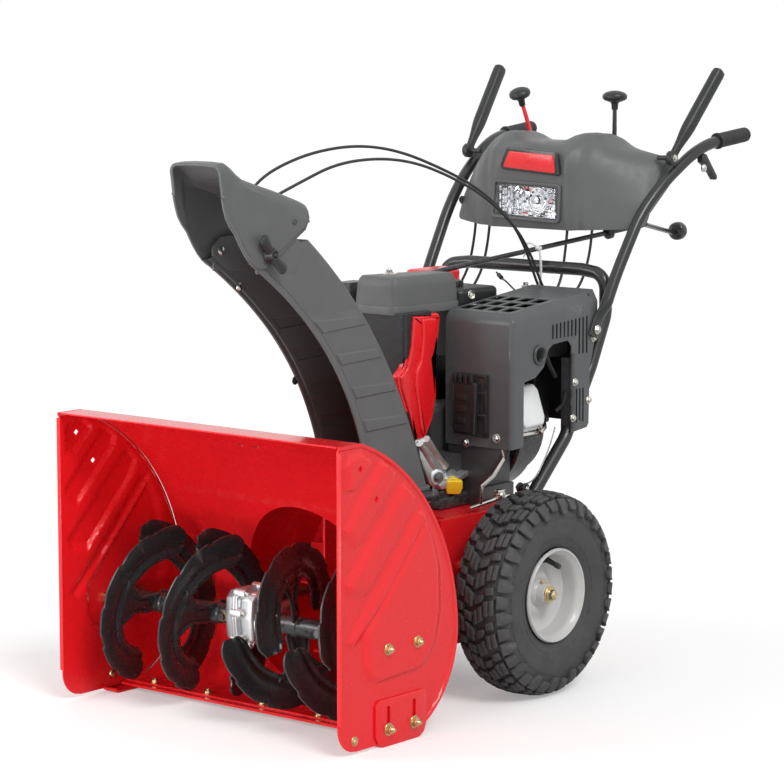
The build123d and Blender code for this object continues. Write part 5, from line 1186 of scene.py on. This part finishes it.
FRONT_ROUND, BEVEL = 9.0, 12.0      # rounding of the front rim, bevel beside the raised top
shield = Shape()
rings = []
depths = [SHIELD_FRONT + FRONT_ROUND * (1 - cos(k / 5 * pi / 2)) for k in range(6)]
insets = [FRONT_ROUND * (1 - sin(k / 5 * pi / 2)) for k in range(6)]
depths += [650, 680, 720, 760, 800, 840, 870, 876, 879, 882, 883, 884, 890, 896, 902, 905, 908]
insets += [0.0] * (len(depths) - len(insets))
for r, d in zip(depths, insets):
    edge, low = shield_edge(r), shield_low(r)
    share = min(1.0, max(0.0, (r - SHIELD_FRONT) / 14.0))
    top = edge - d + (shield_top(max(r, 650.0)) - edge + d) * share
    reach = SHIELD_X1 - 4.0 - (BEVEL - 4.0) * share - d
    ring = [at(SHIELD_X0 + (reach - SHIELD_X0) * k / 6, r, top) for k in range(7)]
    for k in (1, 2, 3):
        ring.append(at(reach + (SHIELD_X1 - d - 1.5 - reach) * k / 3, r,
                       top + (edge - d + 1.5 - top) * k / 3))
    ring += [at(SHIELD_X1 - d, r, edge - d - 2 + (low - edge + d + 2) * k / 8) for k in range(9)]
    rings.append(ring)
shield.loft(list(reversed(rings)), caps=False, closed=False)
face = [tuple(p) for p in rings[0]] + [tuple(at(SHIELD_X0, SHIELD_FRONT, shield_low(SHIELD_FRONT)))]
shield.add(face, [list(range(len(face)))])
cover = shield.piece("muffler_shield", "shield_paint", "chassis", "muffler_shield",
                     solid=2.4, offset=-1.0, sharp=40)
cuts = Shape()
window = rounded([(673, 440), (673, 568), (709, 574), (736, 592), (750, 624), (764, 632), (812, 636),
                  (824, 624), (824, 440)], [0, 6, 10, 16, 10, 8, 10, 8, 0], 4)
CUT_X = (190, 240)                  # the cutters reach through the shield's right wall
cuts.prism(window, *CUT_X, side_view)
for k in range(10):
    low, high, r = (642 if k < 7 else 606), 670 + 0.9 * k, 764 + 12.2 * k
    slot = rounded(rect(r - 2.6, r + 2.6, low, high), 2.4, 3)
    cuts.prism(slot, *CUT_X, side_view)
for k in range(3):
    r = 842 + 10.5 * k
    slot = rounded(rect(r - 2.4, r + 2.4, 474, 540), 2.2, 3)
    cuts.prism(slot, *CUT_X, side_view)
for i in range(4):
    for k in range(3):
        x, r = 77 + 33.5 * i, 681 + 46 * k
        cell = rounded(rect(x - 13, x + 13, r - 17, r + 17), 2.5, 3)
        cuts.prism(cell, 680, 740, top_view)
port = [(721 + 13 * cos(t), 616 + 13 * sin(t)) for t in turns(28)]
cuts.prism(port, *CUT_X, side_view)
carve(cover, cuts)
add_bevel(cover, 0.5, 50)

dark = Shape()
dark.lathe([(-6, 13), (-6, 16), (0.5, 19.5), (3.5, 19.5), (5, 18), (5, 15), (2, 13)],
           at(SHIELD_X1 - 1, 721, 616), RIGHT, 36, loop=True)
strip = [(822, 462), (835, 462), (835, 606), (826, 610), (822, 604)]
dark.prism(strip, SHIELD_X1 - 1.6, SHIELD_X1 + 3.2, side_view, 1.0)
dark.block((190, 826, 458), (SHIELD_X1, 829, 600), 1.0)
skirt = rounded([(62, 452), (212, 452), (204, 430), (186, 408), (160, 390), (141, 372), (137, 331),
                 (92, 331), (92, 345), (78, 410), (64, 430)], 3, 3)
dark.prism(skirt, -642, -638.4, front_view, 1.0)
dark.piece("shield_fittings", "grey_paint", "chassis")
# backing sheets, a block and pipes behind the shield's cuts; the block and pipes stand for real exhaust
# parts, but the near-black colour of all of them is painted shade inside the shield
shade_backing = Shape()
shade_backing.block((64, 886, 470), (210, 890, 719), 1.0)
shade_backing.prism([(664, 500), (888, 470), (888, 720), (664, 696)], 60, 64, side_view)
shade_backing.block((66, 700, 676), (204, 886, 680), 1.0)
shade_backing.block((66, 836, 462), (120, 888, 600), 4.0)
shade_backing.block((66, 690, 600), (186, 860, 664), 9.0)
shade_backing.tube([at(204, 738, 640), at(200, 776, 590), at(196, 800, 566)], 4.5, 12)
shade_backing.tube([at(198, 800, 500), at(206, 812, 512), at(208, 816, 536)], 4, 12)
shade_backing.piece("exhaust_inside_painted_shade", "painted_shade_black", "chassis")
# the stamped exhaust outlet on the front face
outlet = Shape()


def on_shield(x, z, out):
    return at(x, SHIELD_FRONT + 1 - out, z)


outlet.prism(rounded([(80, 466), (163, 462), (163, 582), (80, 582)], 4, 3), -1, 4, on_shield, 1.6)
outlet.prism(rounded([(84, 470), (128, 468), (128, 562), (84, 564)], 5, 3), 2, 12, on_shield, 3.0, 3)
outlet.prism(rounded([(128, 468), (138, 466), (142, 566), (130, 566)], 3, 3), 2, 15, on_shield, 2.5, 3)
for x in (84, 97, 110, 123):
    fin = rounded([(x, 562), (x + 9, 562), (x + 6, 581), (x - 1, 581)], 2, 2)
    outlet.prism(fin, 2, 13, on_shield, 1.6)
for z0, z1 in ((470, 504), (512, 546), (554, 578)):
    outlet.prism(rounded(rect(156, 162, z0, z1), 2, 2), 2, 9, on_shield, 1.2)
    outlet.prism(rounded(rect(140, 162, z1 - 2, z1 + 3), 1.5, 2), 2, 9, on_shield, 1.0)
for z in (486, 508, 530):
    outlet.prism(rounded(rect(95, 117, z, z + 12), 3, 3), 10, 14, on_shield, 1.2)
outlet.piece("exhaust_outlet", "outlet_black", "chassis")
screws = Shape()
for r, z, x in ((895, 633.2, 0), (830.5, 554.2, 3.2), (880.3, 514.3, 0), (824.9, 485.3, 3.2)):
    screws.bolt(at(SHIELD_X1 + x, r, z), RIGHT, 5.6, 4.6, 7.4)
for x, z in ((107, 449), (180.7, 463.7)):
    screws.bolt(at(x, SHIELD_FRONT, z), FRONT, 6.2, 4.4, 9.0)
screws.tube([at(50, 899, 704), at(50, 899, 731)], 5.2, 14)
screws.bolt(at(50, 899, 716), UP, 8.0, 8.0, 9.5)
screws.piece("shield_screws", "steel", "chassis")

# ---- covers round the engine ---------------------------------------------------------------
foot = rounded([(-72, 507), (42, 505), (58, 690), (-26, 690)], 22, 6)
intake = Shape()
levels = [(697, 2.5), (696, 0), (710, 0), (711.5, 0.8), (712, 2.6), (724, 3.2), (742, 5.0)]
for k in range(1, 9):
    t = k / 8 * pi / 2
    levels.append((742 + 24 * sin(t), 5.0 + 13 * (1 - cos(t))))
intake.loft([[at(p.x, p.y, z) for p in inset(foot, d)] for z, d in levels])
intake.piece("intake_cover", "cover_plastic", "chassis", "intake_cover", sharp=35)
nut = Shape()
nut.lathe([(0, 0), (0, 15), (1.5, 15), (2.5, 9), (2.5, 0)], at(-22, 566, 765.4), UP, 30)
nut.bolt(at(-22, 566, 768), UP, 6.5, 6, 8, 4, 3)
nut.lathe([(0, 5.5), (0, 8.6), (1.6, 8.6), (2.6, 7.4), (1.6, 5.5)],
          at(44, 732, 718), (1, -0.25, 0.1), 26, loop=True)
nut.bolt(at(43, 732, 718), (1, -0.25, 0.1), 4.4, 1.6, 5.6)
nut.piece("cover_nut", "steel", "chassis")

cowl = Shape()
COWL = [(527, 700), (616, 694), (610, 650), (603, 628), (592, 614), (598, 598), (603, 575), (604, 540),
        (592, 494), (568, 458), (548, 418), (540, 414), (530, 470), (517, 508), (494, 560), (489, 586),
        (508, 600), (521, 640)]
outer = rounded(COWL, 8, 4)
cowl.prism(outer, 46, 62, side_view, 4.0, 3)
crown = inset(outer, 5.0)
cowl.prism(crown, 60, 66.5, side_view, 5.0, 4)
cowl.prism(rounded([(553, 690), (598, 688), (594, 650), (586, 622), (574, 604), (586, 572), (588, 540),
                    (578, 498), (560, 462), (550, 480), (540, 530), (532, 566), (534, 588),
                    (548, 610), (554, 650)], 9, 4),
           64, 70.5, side_view, 5.5, 4)
cowl.block((-126, 736, 640), (-70, 850, 758), 9)
cowl.piece("engine_cowl", "red_plastic", "chassis", "engine_cowl", sharp=50)
back = Shape()
hub = at(0, 794, 446)
back.lathe([(0, 62), (0, 114), (3, 118), (52, 118), (60, 112), (62, 104), (62, 76), (58, 74), (58, 110),
            (50, 113), (5, 113), (4, 62)], hub, REAR, 64, loop=True)
for t in turns(24):
    d = Vector((cos(t), 0, sin(t)))
    back.tube([hub + (d * 66 + Vector((0, 60, 0))) * MM, hub + (d * 106 + Vector((0, 60, 0))) * MM], 2.0, 8)
back.piece("blower_shroud", "black_paint", "chassis")

# the cast front of the engine, its oil filler and the dark base under it
cast = Shape()
cast.prism(rounded([(505, 468), (528, 470), (588, 412), (596, 372),
                    (560, 362), (540, 384), (514, 430)], 6, 3),
           88, 97, side_view, 2.5)
for path in (((507, 462), (524, 446), (546, 420), (566, 401)),
             ((526, 468), (544, 452), (568, 428), (590, 408))):
    cast.tube([at(100 - 2 * k, r, z) for k, (r, z) in enumerate(path)], [7.5, 6.5, 6.5, 8.5], 14)
cast.prism(rounded([(548, 380), (640, 396), (646, 386), (560, 368)], 4, 3), 84, 112, side_view, 2.0)
cast.lathe([(0, 0), (0, 15), (6, 15), (7, 13.5), (7, 0)], at(98, 559, 392), (1, -0.4, 0), 26)
cast.tube([at(86, 610, 384), at(100, 598, 377), at(106, 594, 375)], [19, 18, 17], 26)
cast.piece("engine_front", "aluminium", "chassis", sharp=40)
case = Shape()
case.bolt(at(105, 556.5, 392), (1, -0.4, 0), 7.5, 5, 10.5)
case.piece("engine_front_bolt", "dark_steel", "chassis")
base = Shape()
base.block((40, 552, 331), (112, 640, 352), 2.5)
base.block((52, 560, 350), (106, 634, 366), 2.5)
base.block((-60, 560, 352), (84, 600, 430), 6)
base.piece("engine_base", "black_paint", "chassis")
plug = Shape()
plug.lathe([(-2, 0), (-2, 12), (0.5, 16), (2.5, 16), (4.0, 14.5), (4.5, 10), (3.4, 8.5), (3.0, 0)],
           at(197.6, 517, 237), RIGHT, 32)
plug.piece("frame_plug", "black_plastic", "chassis")
oil = Shape()
p, way = at(106, 596, 375), (at(112, 590, 372) - at(92, 604, 380)).normalized()
oil.lathe([(-14, 0), (-14, 9), (0, 9), (0, 15), (2, 16), (7, 16), (8.5, 14.5), (9, 0)], p, way, 24)
_, u, v = frame_of(way)
wing = rounded([(-16, -13), (15, -15), (17, 0), (13, 13), (-13, 15), (-17, 2)], 4, 4)
oil.prism(wing, 6, 17, lambda a, b, h: p + (u * a + v * b + way * h) * MM, 2.5, 3)
oil.piece("dipstick", "yellow_plastic", "dipstick", "dipstick")

# ---- wheels --------------------------------------------------------------------------------
WHEEL = (295.5, 605.0, 190.5)
TREAD_R = 185.0                     # radius at which the tread's blocks are laid out
CARCASS = [(0, 179.5), (14, 179.0), (27, 177.4), (36, 175.2), (42.5, 172.0), (47, 167.5), (50.5, 161),
           (53, 153), (54.5, 144), (54.9, 133), (54.2, 120), (52, 107), (48, 96.5), (43.5, 89.0)]
reach_list = [0.0]                  # distance along the skin to each point of the carcass
for (a0, r0), (a1, r1) in zip(CARCASS[:-1], CARCASS[1:]):
    reach_list.append(reach_list[-1] + hypot(a1 - a0, r1 - r0))


def on_carcass(s):
    """Point (across, radius) and outward normal at a distance s from the middle along the tyre's skin."""
    sign, s = (1, s) if s >= 0 else (-1, -s)
    k = 0
    while k < len(CARCASS) - 2 and reach_list[k + 1] < s:
        k += 1
    share = (s - reach_list[k]) / (reach_list[k + 1] - reach_list[k])

    def lean(i):
        a, b = Vector(CARCASS[max(0, i - 1)]), Vector(CARCASS[min(len(CARCASS) - 1, i + 1)])
        way = (b - a).normalized()
        return Vector((-way.y, way.x)) if i else Vector((0, 1))

    p = Vector(CARCASS[k]).lerp(Vector(CARCASS[k + 1]), share)
    n = lean(k).lerp(lean(k + 1), share).normalized()
    return Vector((p.x * sign, p.y)), Vector((n.x * sign, n.y))


PITCHES = 18
STEP = 2 * pi * TREAD_R / PITCHES
# each tread block: outline as (across the skin in mm, share of one pitch) and its height
BLOCKS = [
    ([(1.5, 0.02), (9, 0.08), (8.6, 0.50), (1.5, 0.42)], 11.0),
    ([(10.2, 0.09), (19, 0.18), (18, 0.60), (9.6, 0.52)], 11.0),
    ([(3, 0.60), (18, 0.70), (21, 0.93), (5, 0.84)], 10.4),
    ([(22, 0.28), (30, 0.32), (30, 0.76), (21.4, 0.70)], 11.0),
    ([(31.3, 0.33), (39, 0.36), (39, 0.80), (31.3, 0.76)], 10.6),
    ([(24, 0.88), (38, 0.94), (37, 1.16), (24, 1.10)], 10.2),
    ([(42, 0.04), (52, 0.02), (68, 0.08), (68, 0.30), (52, 0.44), (42, 0.42)], 9.0),
    ([(42, 0.54), (51, 0.52), (60, 0.56), (60, 0.84), (51, 0.92), (42, 0.92)], 9.0),
]
for side, name in ((1, "right"), (-1, "left")):
    centre = at(side * WHEEL[0], WHEEL[1], WHEEL[2])

    def skin(s, along, h):
        p, n = on_carcass(s)
        q = p + n * h
        angle = along / TREAD_R
        return centre + Vector((side * q.x, sin(angle) * q.y, cos(angle) * q.y)) * MM

    tyre = Shape()
    outline = [on_carcass(s)[0] for s in [reach_list[-1] * (k / 40 * 2 - 1) for k in range(41)]]
    profile = []
    for p in outline:
        bump = 0.0
        for ring_r, tall in ((150, 1.6), (141, 0.8), (112, 1.2), (104, 1.6)):
            bump = max(bump, tall * (1 - ease(abs(p.y - ring_r) / 3.0))) if abs(p.x) > 40 else 0.0
        profile.append((p.x + (bump if p.x > 0 else -bump), p.y))
    inner = [(40, 89), (42, 104), (46, 122), (46, 140), (41, 158), (26, 168), (0, 169.5), (-26, 168),
             (-41, 158), (-46, 140), (-46, 122), (-42, 104), (-40, 89)]
    tyre.lathe(facing(side, profile + inner), centre, RIGHT, 108, loop=True)
    for sign in (1, -1):
        for k in range(PITCHES):
            start = STEP * (k + (0.5 if sign < 0 else 0.0))
            for block, height in BLOCKS:
                pts = [(sign * s, start + STEP * share) for s, share in block]
                tyre.prism(rounded(pts, 1.8, 2), -2.0, height, skin, 1.7, 2)
    for r in (146.5, 144.2, 108.6, 106.4):
        for face in (1, -1):
            s = min(range(800), key=lambda i: abs(on_carcass(i * 0.15)[0].y - r)) * 0.15
            p = on_carcass(face * s)[0]
            ridge = [(p.x - face * 0.6, p.y - 0.5), (p.x + face * 0.55, p.y - 0.3),
                     (p.x + face * 0.55, p.y + 0.3), (p.x - face * 0.6, p.y + 0.5)]
            tyre.lathe(facing(side, ridge), centre, RIGHT, 90, loop=True)
    tyre.piece("tyre_" + name, "tyre", "wheel_" + name, "tyre_" + name, sharp=35)

    rim = Shape()
    barrel = [(47, 88), (50, 87.4), (52, 85.5), (51.6, 83.5), (48.6, 81.5), (44.5, 78.5), (41.5, 75.5),
              (34, 74), (26, 73), (13, 70), (0, 67), (-13, 70), (-26, 73), (-41.5, 75.5), (-48.6, 81.5),
              (-52, 85.5), (-50, 87.4), (-47, 88), (-45, 82), (-40, 78.5), (-26, 76), (-12, 73), (0, 70),
              (12, 73), (26, 76), (40, 78.5), (45, 82)]
    dish = [(13, 70.6), (10.5, 66), (8, 61), (5.5, 56), (5, 50), (6.5, 44), (9.5, 39), (11, 34), (10.5, 29),
            (8, 24.5), (7, 19), (3.5, 19), (4.5, 24.5), (7, 29), (7.6, 34), (6.2, 39), (3.2, 44), (1.8, 50),
            (2.2, 56), (4.6, 61), (7, 66), (8, 71)]
    tube = [(-68, 9.6), (-68, 18.2), (-67, 19), (30.5, 19), (32, 18), (32, 9.6)]
    for loop in (barrel, dish, tube):
        rim.lathe(facing(side, loop), centre, RIGHT, 72, loop=True)
    rim.lathe(facing(side, [(4, 19), (4, 26), (9, 25), (14, 20.5), (16, 19)]), centre, RIGHT, 48, loop=True)
    rim.piece("rim_" + name, "silver_paint", "wheel_" + name, "rim_" + name, sharp=35)
    hub = Shape()
    end = centre + Vector((side * 32 * MM, 0, 0))
    hub.lathe([(0, 9.7), (0, 16.5), (2.6, 16.5), (3.4, 15.5), (3.4, 9.7)], end, (side, 0, 0), 32, loop=True)
    hub.lathe([(3.2, 0), (3.2, 12.6), (5.4, 12.6), (6, 11.6), (6, 0)], end, (side, 0, 0), 32)
    hub.bolt(end + Vector((side * 5.6 * MM, 0, 0)), (side, 0, 0), 9.4, 7.5, 11.6)
    hub.bolt(centre + Vector((side * 18, 0, 19)) * MM, UP, 5.0, 3.6, 6.6)
    hub.piece("hub_bolt_" + name, "bronze", "wheel_" + name)
    valve = Shape()
    foot = centre + Vector((side * 9, 16, 63)) * MM
    tip = centre + Vector((side * 41, 17, 51)) * MM
    way = (tip - foot).normalized()
    valve.lathe([(0, 0), (0, 9.5), (3, 9), (8, 5.6), (26, 4.4), (27, 5.2), (36, 5.2), (38, 4.2),
                 (38.6, 0)], foot, way, 18)
    valve.piece("valve_" + name, "black_plastic", "wheel_" + name)

# ---- cables --------------------------------------------------------------------------------
CABLE_R = 2.8
PITCH_ONE = [(13, 104, 822.05), (13, 104, 872), (12, 120, 924), (13, 160, 961), (17, 215, 986),
             (24, 302, 1008), (32, 410, 1016), (38, 520, 1002), (43, 640, 965), (48, 750, 922),
             (52, 845, 858), (53, 893, 800), (53, 922, 745), (53, 946, 706), (52, 982, 694),
             (51, 1015, 724), (50, 1030, 782), (50, 1038, 838), (51, 1045, 883.7)]
PITCH_TWO = [(17, 114, 822.05), (17, 114, 866), (17, 145, 902), (26, 180, 930), (40, 240, 955),
             (47, 330, 985), (53, 438, 992), (58, 540, 981), (63, 640, 951), (67, 745, 908), (70, 838, 845),
             (71, 886, 790), (72, 916, 735), (74, 942, 697), (80, 984, 684), (92, 1022, 714),
             (100, 1040, 768), (103, 1048, 826), (103, 1052, 883.7)]


def cable_line(name, points, radius=CABLE_R, finish_name="black_plastic"):
    data = bpy.data.curves.new(name + "_line", "CURVE")
    data.dimensions = "3D"
    data.resolution_u = 10
    data.bevel_depth = radius * MM
    data.bevel_resolution = 3
    data.use_fill_caps = True
    spline = data.splines.new("NURBS")
    spline.points.add(len(points) - 1)
    for point, p in zip(spline.points, points):
        point.co = (*at(*p), 1.0)
    spline.order_u = 3
    spline.use_endpoint_u = True
    guide = linked(name + "_line", data)
    mesh = evaluated_mesh(guide)
    bpy.data.objects.remove(guide)
    material, slot = FINISHES[finish_name]
    coated(mesh, material)
    obj = linked(name, mesh)
    return obj


for name, points in (("pitch_cable_one", PITCH_ONE), ("pitch_cable_two", PITCH_TWO)):
    cable = cable_line(name, points)
    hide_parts("cables")
    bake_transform(cable)
for name, x0, x1 in (("drive_cable", -196, -168), ("auger_cable", -160, -140)):
    line = [(x0, 1060, 883.8), (x0, 1058, 840), (x0 + 1, 1050, 795), (x0 + 4, 1030, 742),
            (x0 + 8, 995, 705), (x0 + 12, 950, 678), (x1, 905, 640), (x1, 868, 590),
            (x1 - 2, 840, 535), (x1 - 4, 815, 478), (x1 - 4, 790, 425), (x1 - 4, 762, 380),
            (x1 - 4, 728, 348), (x1 - 4, 690, 332.85)]
    cable = cable_line(name, line)
    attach(cable, "chassis")
    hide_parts("cables")
steer = cable_line("steering_cable", [(204, 688, 373), (205, 705, 372), (206, 728, 382), (206, 752, 410),
                                      (205, 778, 446), (202, 792, 470)], 1.4, "dark_steel")
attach(steer, "chassis")

tie = Shape()
tie.tube([at(*p) for p in ((46, 902, 806), (54, 908, 808), (64, 914, 802), (70, 918, 790), (71, 920, 772),
                           (71, 921, 755), (70, 921, 738), (67, 921, 724))], 2.3, 8)
tie.tube([at(*p) for p in ((48, 904, 803), (50, 902, 795), (48, 900, 786), (44, 898, 779))], 1.5, 8)
tie.block((62, 912, 794), (73, 922, 801), 1.5)
tie.piece("cable_tie", "white_cover", "chassis")
joiner = Shape()
joiner.tube([at(-58, 946, 741), at(-52, 942, 739), at(-40, 930, 736), at(-12, 918, 727),
             at(20, 905, 712)], 1.8, 8)
joiner.tube([at(-44, 935, 737.5), at(-30, 926, 733)], 4.4, 12)
joiner.piece("throttle_cable", "black_plastic", "chassis")

roller = Shape()
roller.lathe([(-10, 4), (-10, 9.5), (-7.5, 10.5), (-5.5, 6.5), (3, 6.5), (5, 10.5), (7.5, 9.5),
              (7.5, 4)], at(206, 687, 366), RIGHT, 30, loop=True)
roller.piece("cable_roller", "black_plastic", "chassis")
roller_pin = Shape()
roller_pin.bolt(at(212, 687, 366), RIGHT, 5.0, 3.5, 6.5)
roller_pin.tube([at(190, 687, 366), at(212, 687, 366)], 3.8, 12)
roller_pin.piece("roller_pin", "steel", "chassis")
link = Shape()
plate = rounded([(628, 444), (634, 430), (602, 402), (566, 386), (563, 350), (569, 350), (572, 380),
                 (608, 396), (642, 428), (640, 446)], 2, 3)
link.prism(plate, 197, 199.4, side_view, 0.5)
link.tube([at(176, 560, 340), at(188, 640, 352)], 4.5, 14)
link.block((180, 628, 346), (194, 650, 368), 2.5)
link.lathe([(0, 0), (0, 7), (10, 7), (12, 5), (12, 0)], at(187, 634, 357), RIGHT, 18)
link.piece("shift_link", "steel", "chassis")

# ---- upper handles with their flattened feet ------------------------------------------------
TUBE_HALF, FOOT_FROM, FOOT_TO = 11.5, 34.0, 76.0     # tube, and where its flat foot turns round
UPPER = [(228.6, 890, 636), (228.6, 940, 736), (236, 1018, 862), (246, 1080, 922), (262, 1190, 994),
         (268, 1340, 1010)]


def smooth_path(points, steps=14):
    """The same run of straight stretches with a quadratic curve at each corner."""
    pts = [Vector(p) for p in points]
    out = [pts[0]]
    for a, b, c in zip(pts[:-2], pts[1:-1], pts[2:]):
        reach = 0.45 * min((b - a).length, (c - b).length)
        p, q = b + (a - b).normalized() * reach, b + (c - b).normalized() * reach
        for k in range(steps + 1):
            t = k / steps
            out.append(p * (1 - t) ** 2 + b * 2 * t * (1 - t) + q * t ** 2)
    return out + [pts[-1]]


uppers = Shape()
for side in (1, -1):
    path, rings = smooth_path(UPPER), []
    start = [path[0].lerp(path[1], k / 8) for k in range(8)]
    path = start + path[1:]
    run = 0.0
    for k, p in enumerate(path):
        ahead = (path[min(k + 1, len(path) - 1)] - path[max(k - 1, 0)]).normalized()
        across = Vector((1, 0, 0))
        across = (across - ahead * across.dot(ahead)).normalized()
        other = ahead.cross(across).normalized()
        if k:
            run += (p - path[k - 1]).length
        flat = 1.0 - ease((run - FOOT_FROM) / (FOOT_TO - FOOT_FROM))
        thin, wide = TUBE_HALF * (1 - 0.70 * flat), TUBE_HALF * (1 + 0.30 * flat)
        middle = p + Vector((-8.3 * flat, 0, 0))
        ring = []
        for t in turns(24):
            q = middle + across * (thin * cos(t)) + other * (wide * sin(t))
            ring.append(at(side * q.x, q.y, q.z))
        rings.append(ring if side > 0 else list(reversed(ring)))
    uppers.loft(rings)
uppers.piece("upper_handles", "handle_paint", "chassis", "upper_handles", sharp=45)
foot_bolts = Shape()
for side in (1, -1):
    for r, z in ((896, 650), (918, 694)):
        foot_bolts.bolt(at(side * 224.5, r, z), (side, 0, 0), 6.4, 5.0, 9.2)
foot_bolts.piece("handle_foot_bolts", "steel", "chassis")

# ---- auger gearbox -------------------------------------------------------------------------
shaft_low, shaft_high = span("auger_shaft")
GEAR_REAR, GEAR_Z = (shaft_low[1] + shaft_high[1]) / 2, (shaft_low[2] + shaft_high[2]) / 2
gear = Shape()


def on_case(rear, z, x):
    return at(x, GEAR_REAR + rear, GEAR_Z + z)


CASE = [(-52, -34), (-57, 10), (-54, 48), (-40, 62), (20, 64), (44, 48), (46, -16), (26, -44), (-34, -44)]
flange = rounded(CASE, 13, 5)
gear.prism(flange, -9, -2.6, on_case, 1.4, 3)
gear.prism(flange, -2.2, 4, on_case, 1.4, 3)
gear.prism(inset(flange, 8), -33, -8, on_case, 7.0, 4)
gear.prism(inset(flange, 8), 3, 33, on_case, 7.0, 4)
for sign in (1, -1):
    gear.lathe([(sign * 30, 16), (sign * 30, 30), (sign * 34, 28.5), (sign * 36, 26), (sign * 36, 16)],
               at(0, GEAR_REAR, GEAR_Z), RIGHT, 36,
               loop=True)
    gear.lathe([(sign * 28, 30), (sign * 34, 33), (sign * 35.5, 37), (sign * 34, 41), (sign * 28, 44)],
               at(0, GEAR_REAR, GEAR_Z), RIGHT, 48)
    gear.lathe([(-30, 0), (-30, 9), (-26, 11), (22, 11), (26, 9), (26, 0)],
               at(sign * 24, GEAR_REAR - 4, GEAR_Z + 47), REAR, 24)
LUGS = [(-48, -28), (-51, 20), (-40, 54), (6, 58), (36, 44), (38, -10), (18, -38), (-26, -38)]
for r, z in LUGS:
    gear.lathe([(-10, 0), (-10, 8.4), (-9, 9.4), (13, 9.4), (15, 8), (15, 0)],
               at(0, GEAR_REAR + r, GEAR_Z + z), RIGHT, 22)
gear.lathe([(0, 12), (0, 26), (30, 25), (36, 21), (84, 19), (86, 17), (86, 12)],
           at(0, GEAR_REAR, GEAR_Z + 9), REAR, 36, loop=True)
gear.piece("auger_gearbox", "aluminium", "chassis", "auger_gearbox", sharp=40)
gear_bolts = Shape()
for r, z in LUGS:
    gear_bolts.bolt(at(14.6, GEAR_REAR + r, GEAR_Z + z), RIGHT, 4.4, 3.8, 5.8)
gear_bolts.piece("gearbox_bolts", "steel", "chassis")

# ---- rocker cover --------------------------------------------------------------------------
tilt = radians(20.0)                # the cylinder leans up to the right
axis = Vector((cos(tilt), 0, sin(tilt)))
up = Vector((-sin(tilt), 0, cos(tilt)))
base = Vector((0, 734, 448)) + axis * 174.0
rocker = Shape()


def on_head(a, b, h):
    q = base + Vector((0, 1, 0)) * a + up * b + axis * h
    return at(*q)


head_outline = rounded([(-36, -46), (30, -44), (40, -26), (42, 30), (30, 46), (-24, 46), (-42, 28),
                        (-42, -28)], 14, 5)
for low, high, out in ((0.1, 4, 0.0), (4, 26, 4.5)):
    rocker.prism(inset(head_outline, out), low, high, on_head, 6.0 if out else 1.0, 5 if out else 2)
rocker.piece("rocker_cover", "white_cover", "chassis", "rocker_cover", sharp=40)
head = Shape()
for a, b in ((-36, -40), (36, -40), (-36, 40), (36, 40)):
    head.bolt(on_head(a, b, 4), tuple(axis), 4.4, 4, 6.2)
for k in range(4):
    head.tube([on_head(-34 + 8 * k, -46, -6), on_head(-30 + 8 * k, -52, -14),
               on_head(-22 + 10 * k, -56, -24)], 2.6, 8)
head.prism(rounded(rect(-44, 44, -52, -46), 2, 2), -26, 2, on_head, 1.0)
head.tube([on_head(30, -52, 6), on_head(46, -44, 8), on_head(60, -30, 0), on_head(72, -22, -20)], 4.6, 12)
head.piece("head_fittings", "steel", "chassis")

# ---- overall bounds ------------------------------------------------------------------------
low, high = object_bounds()
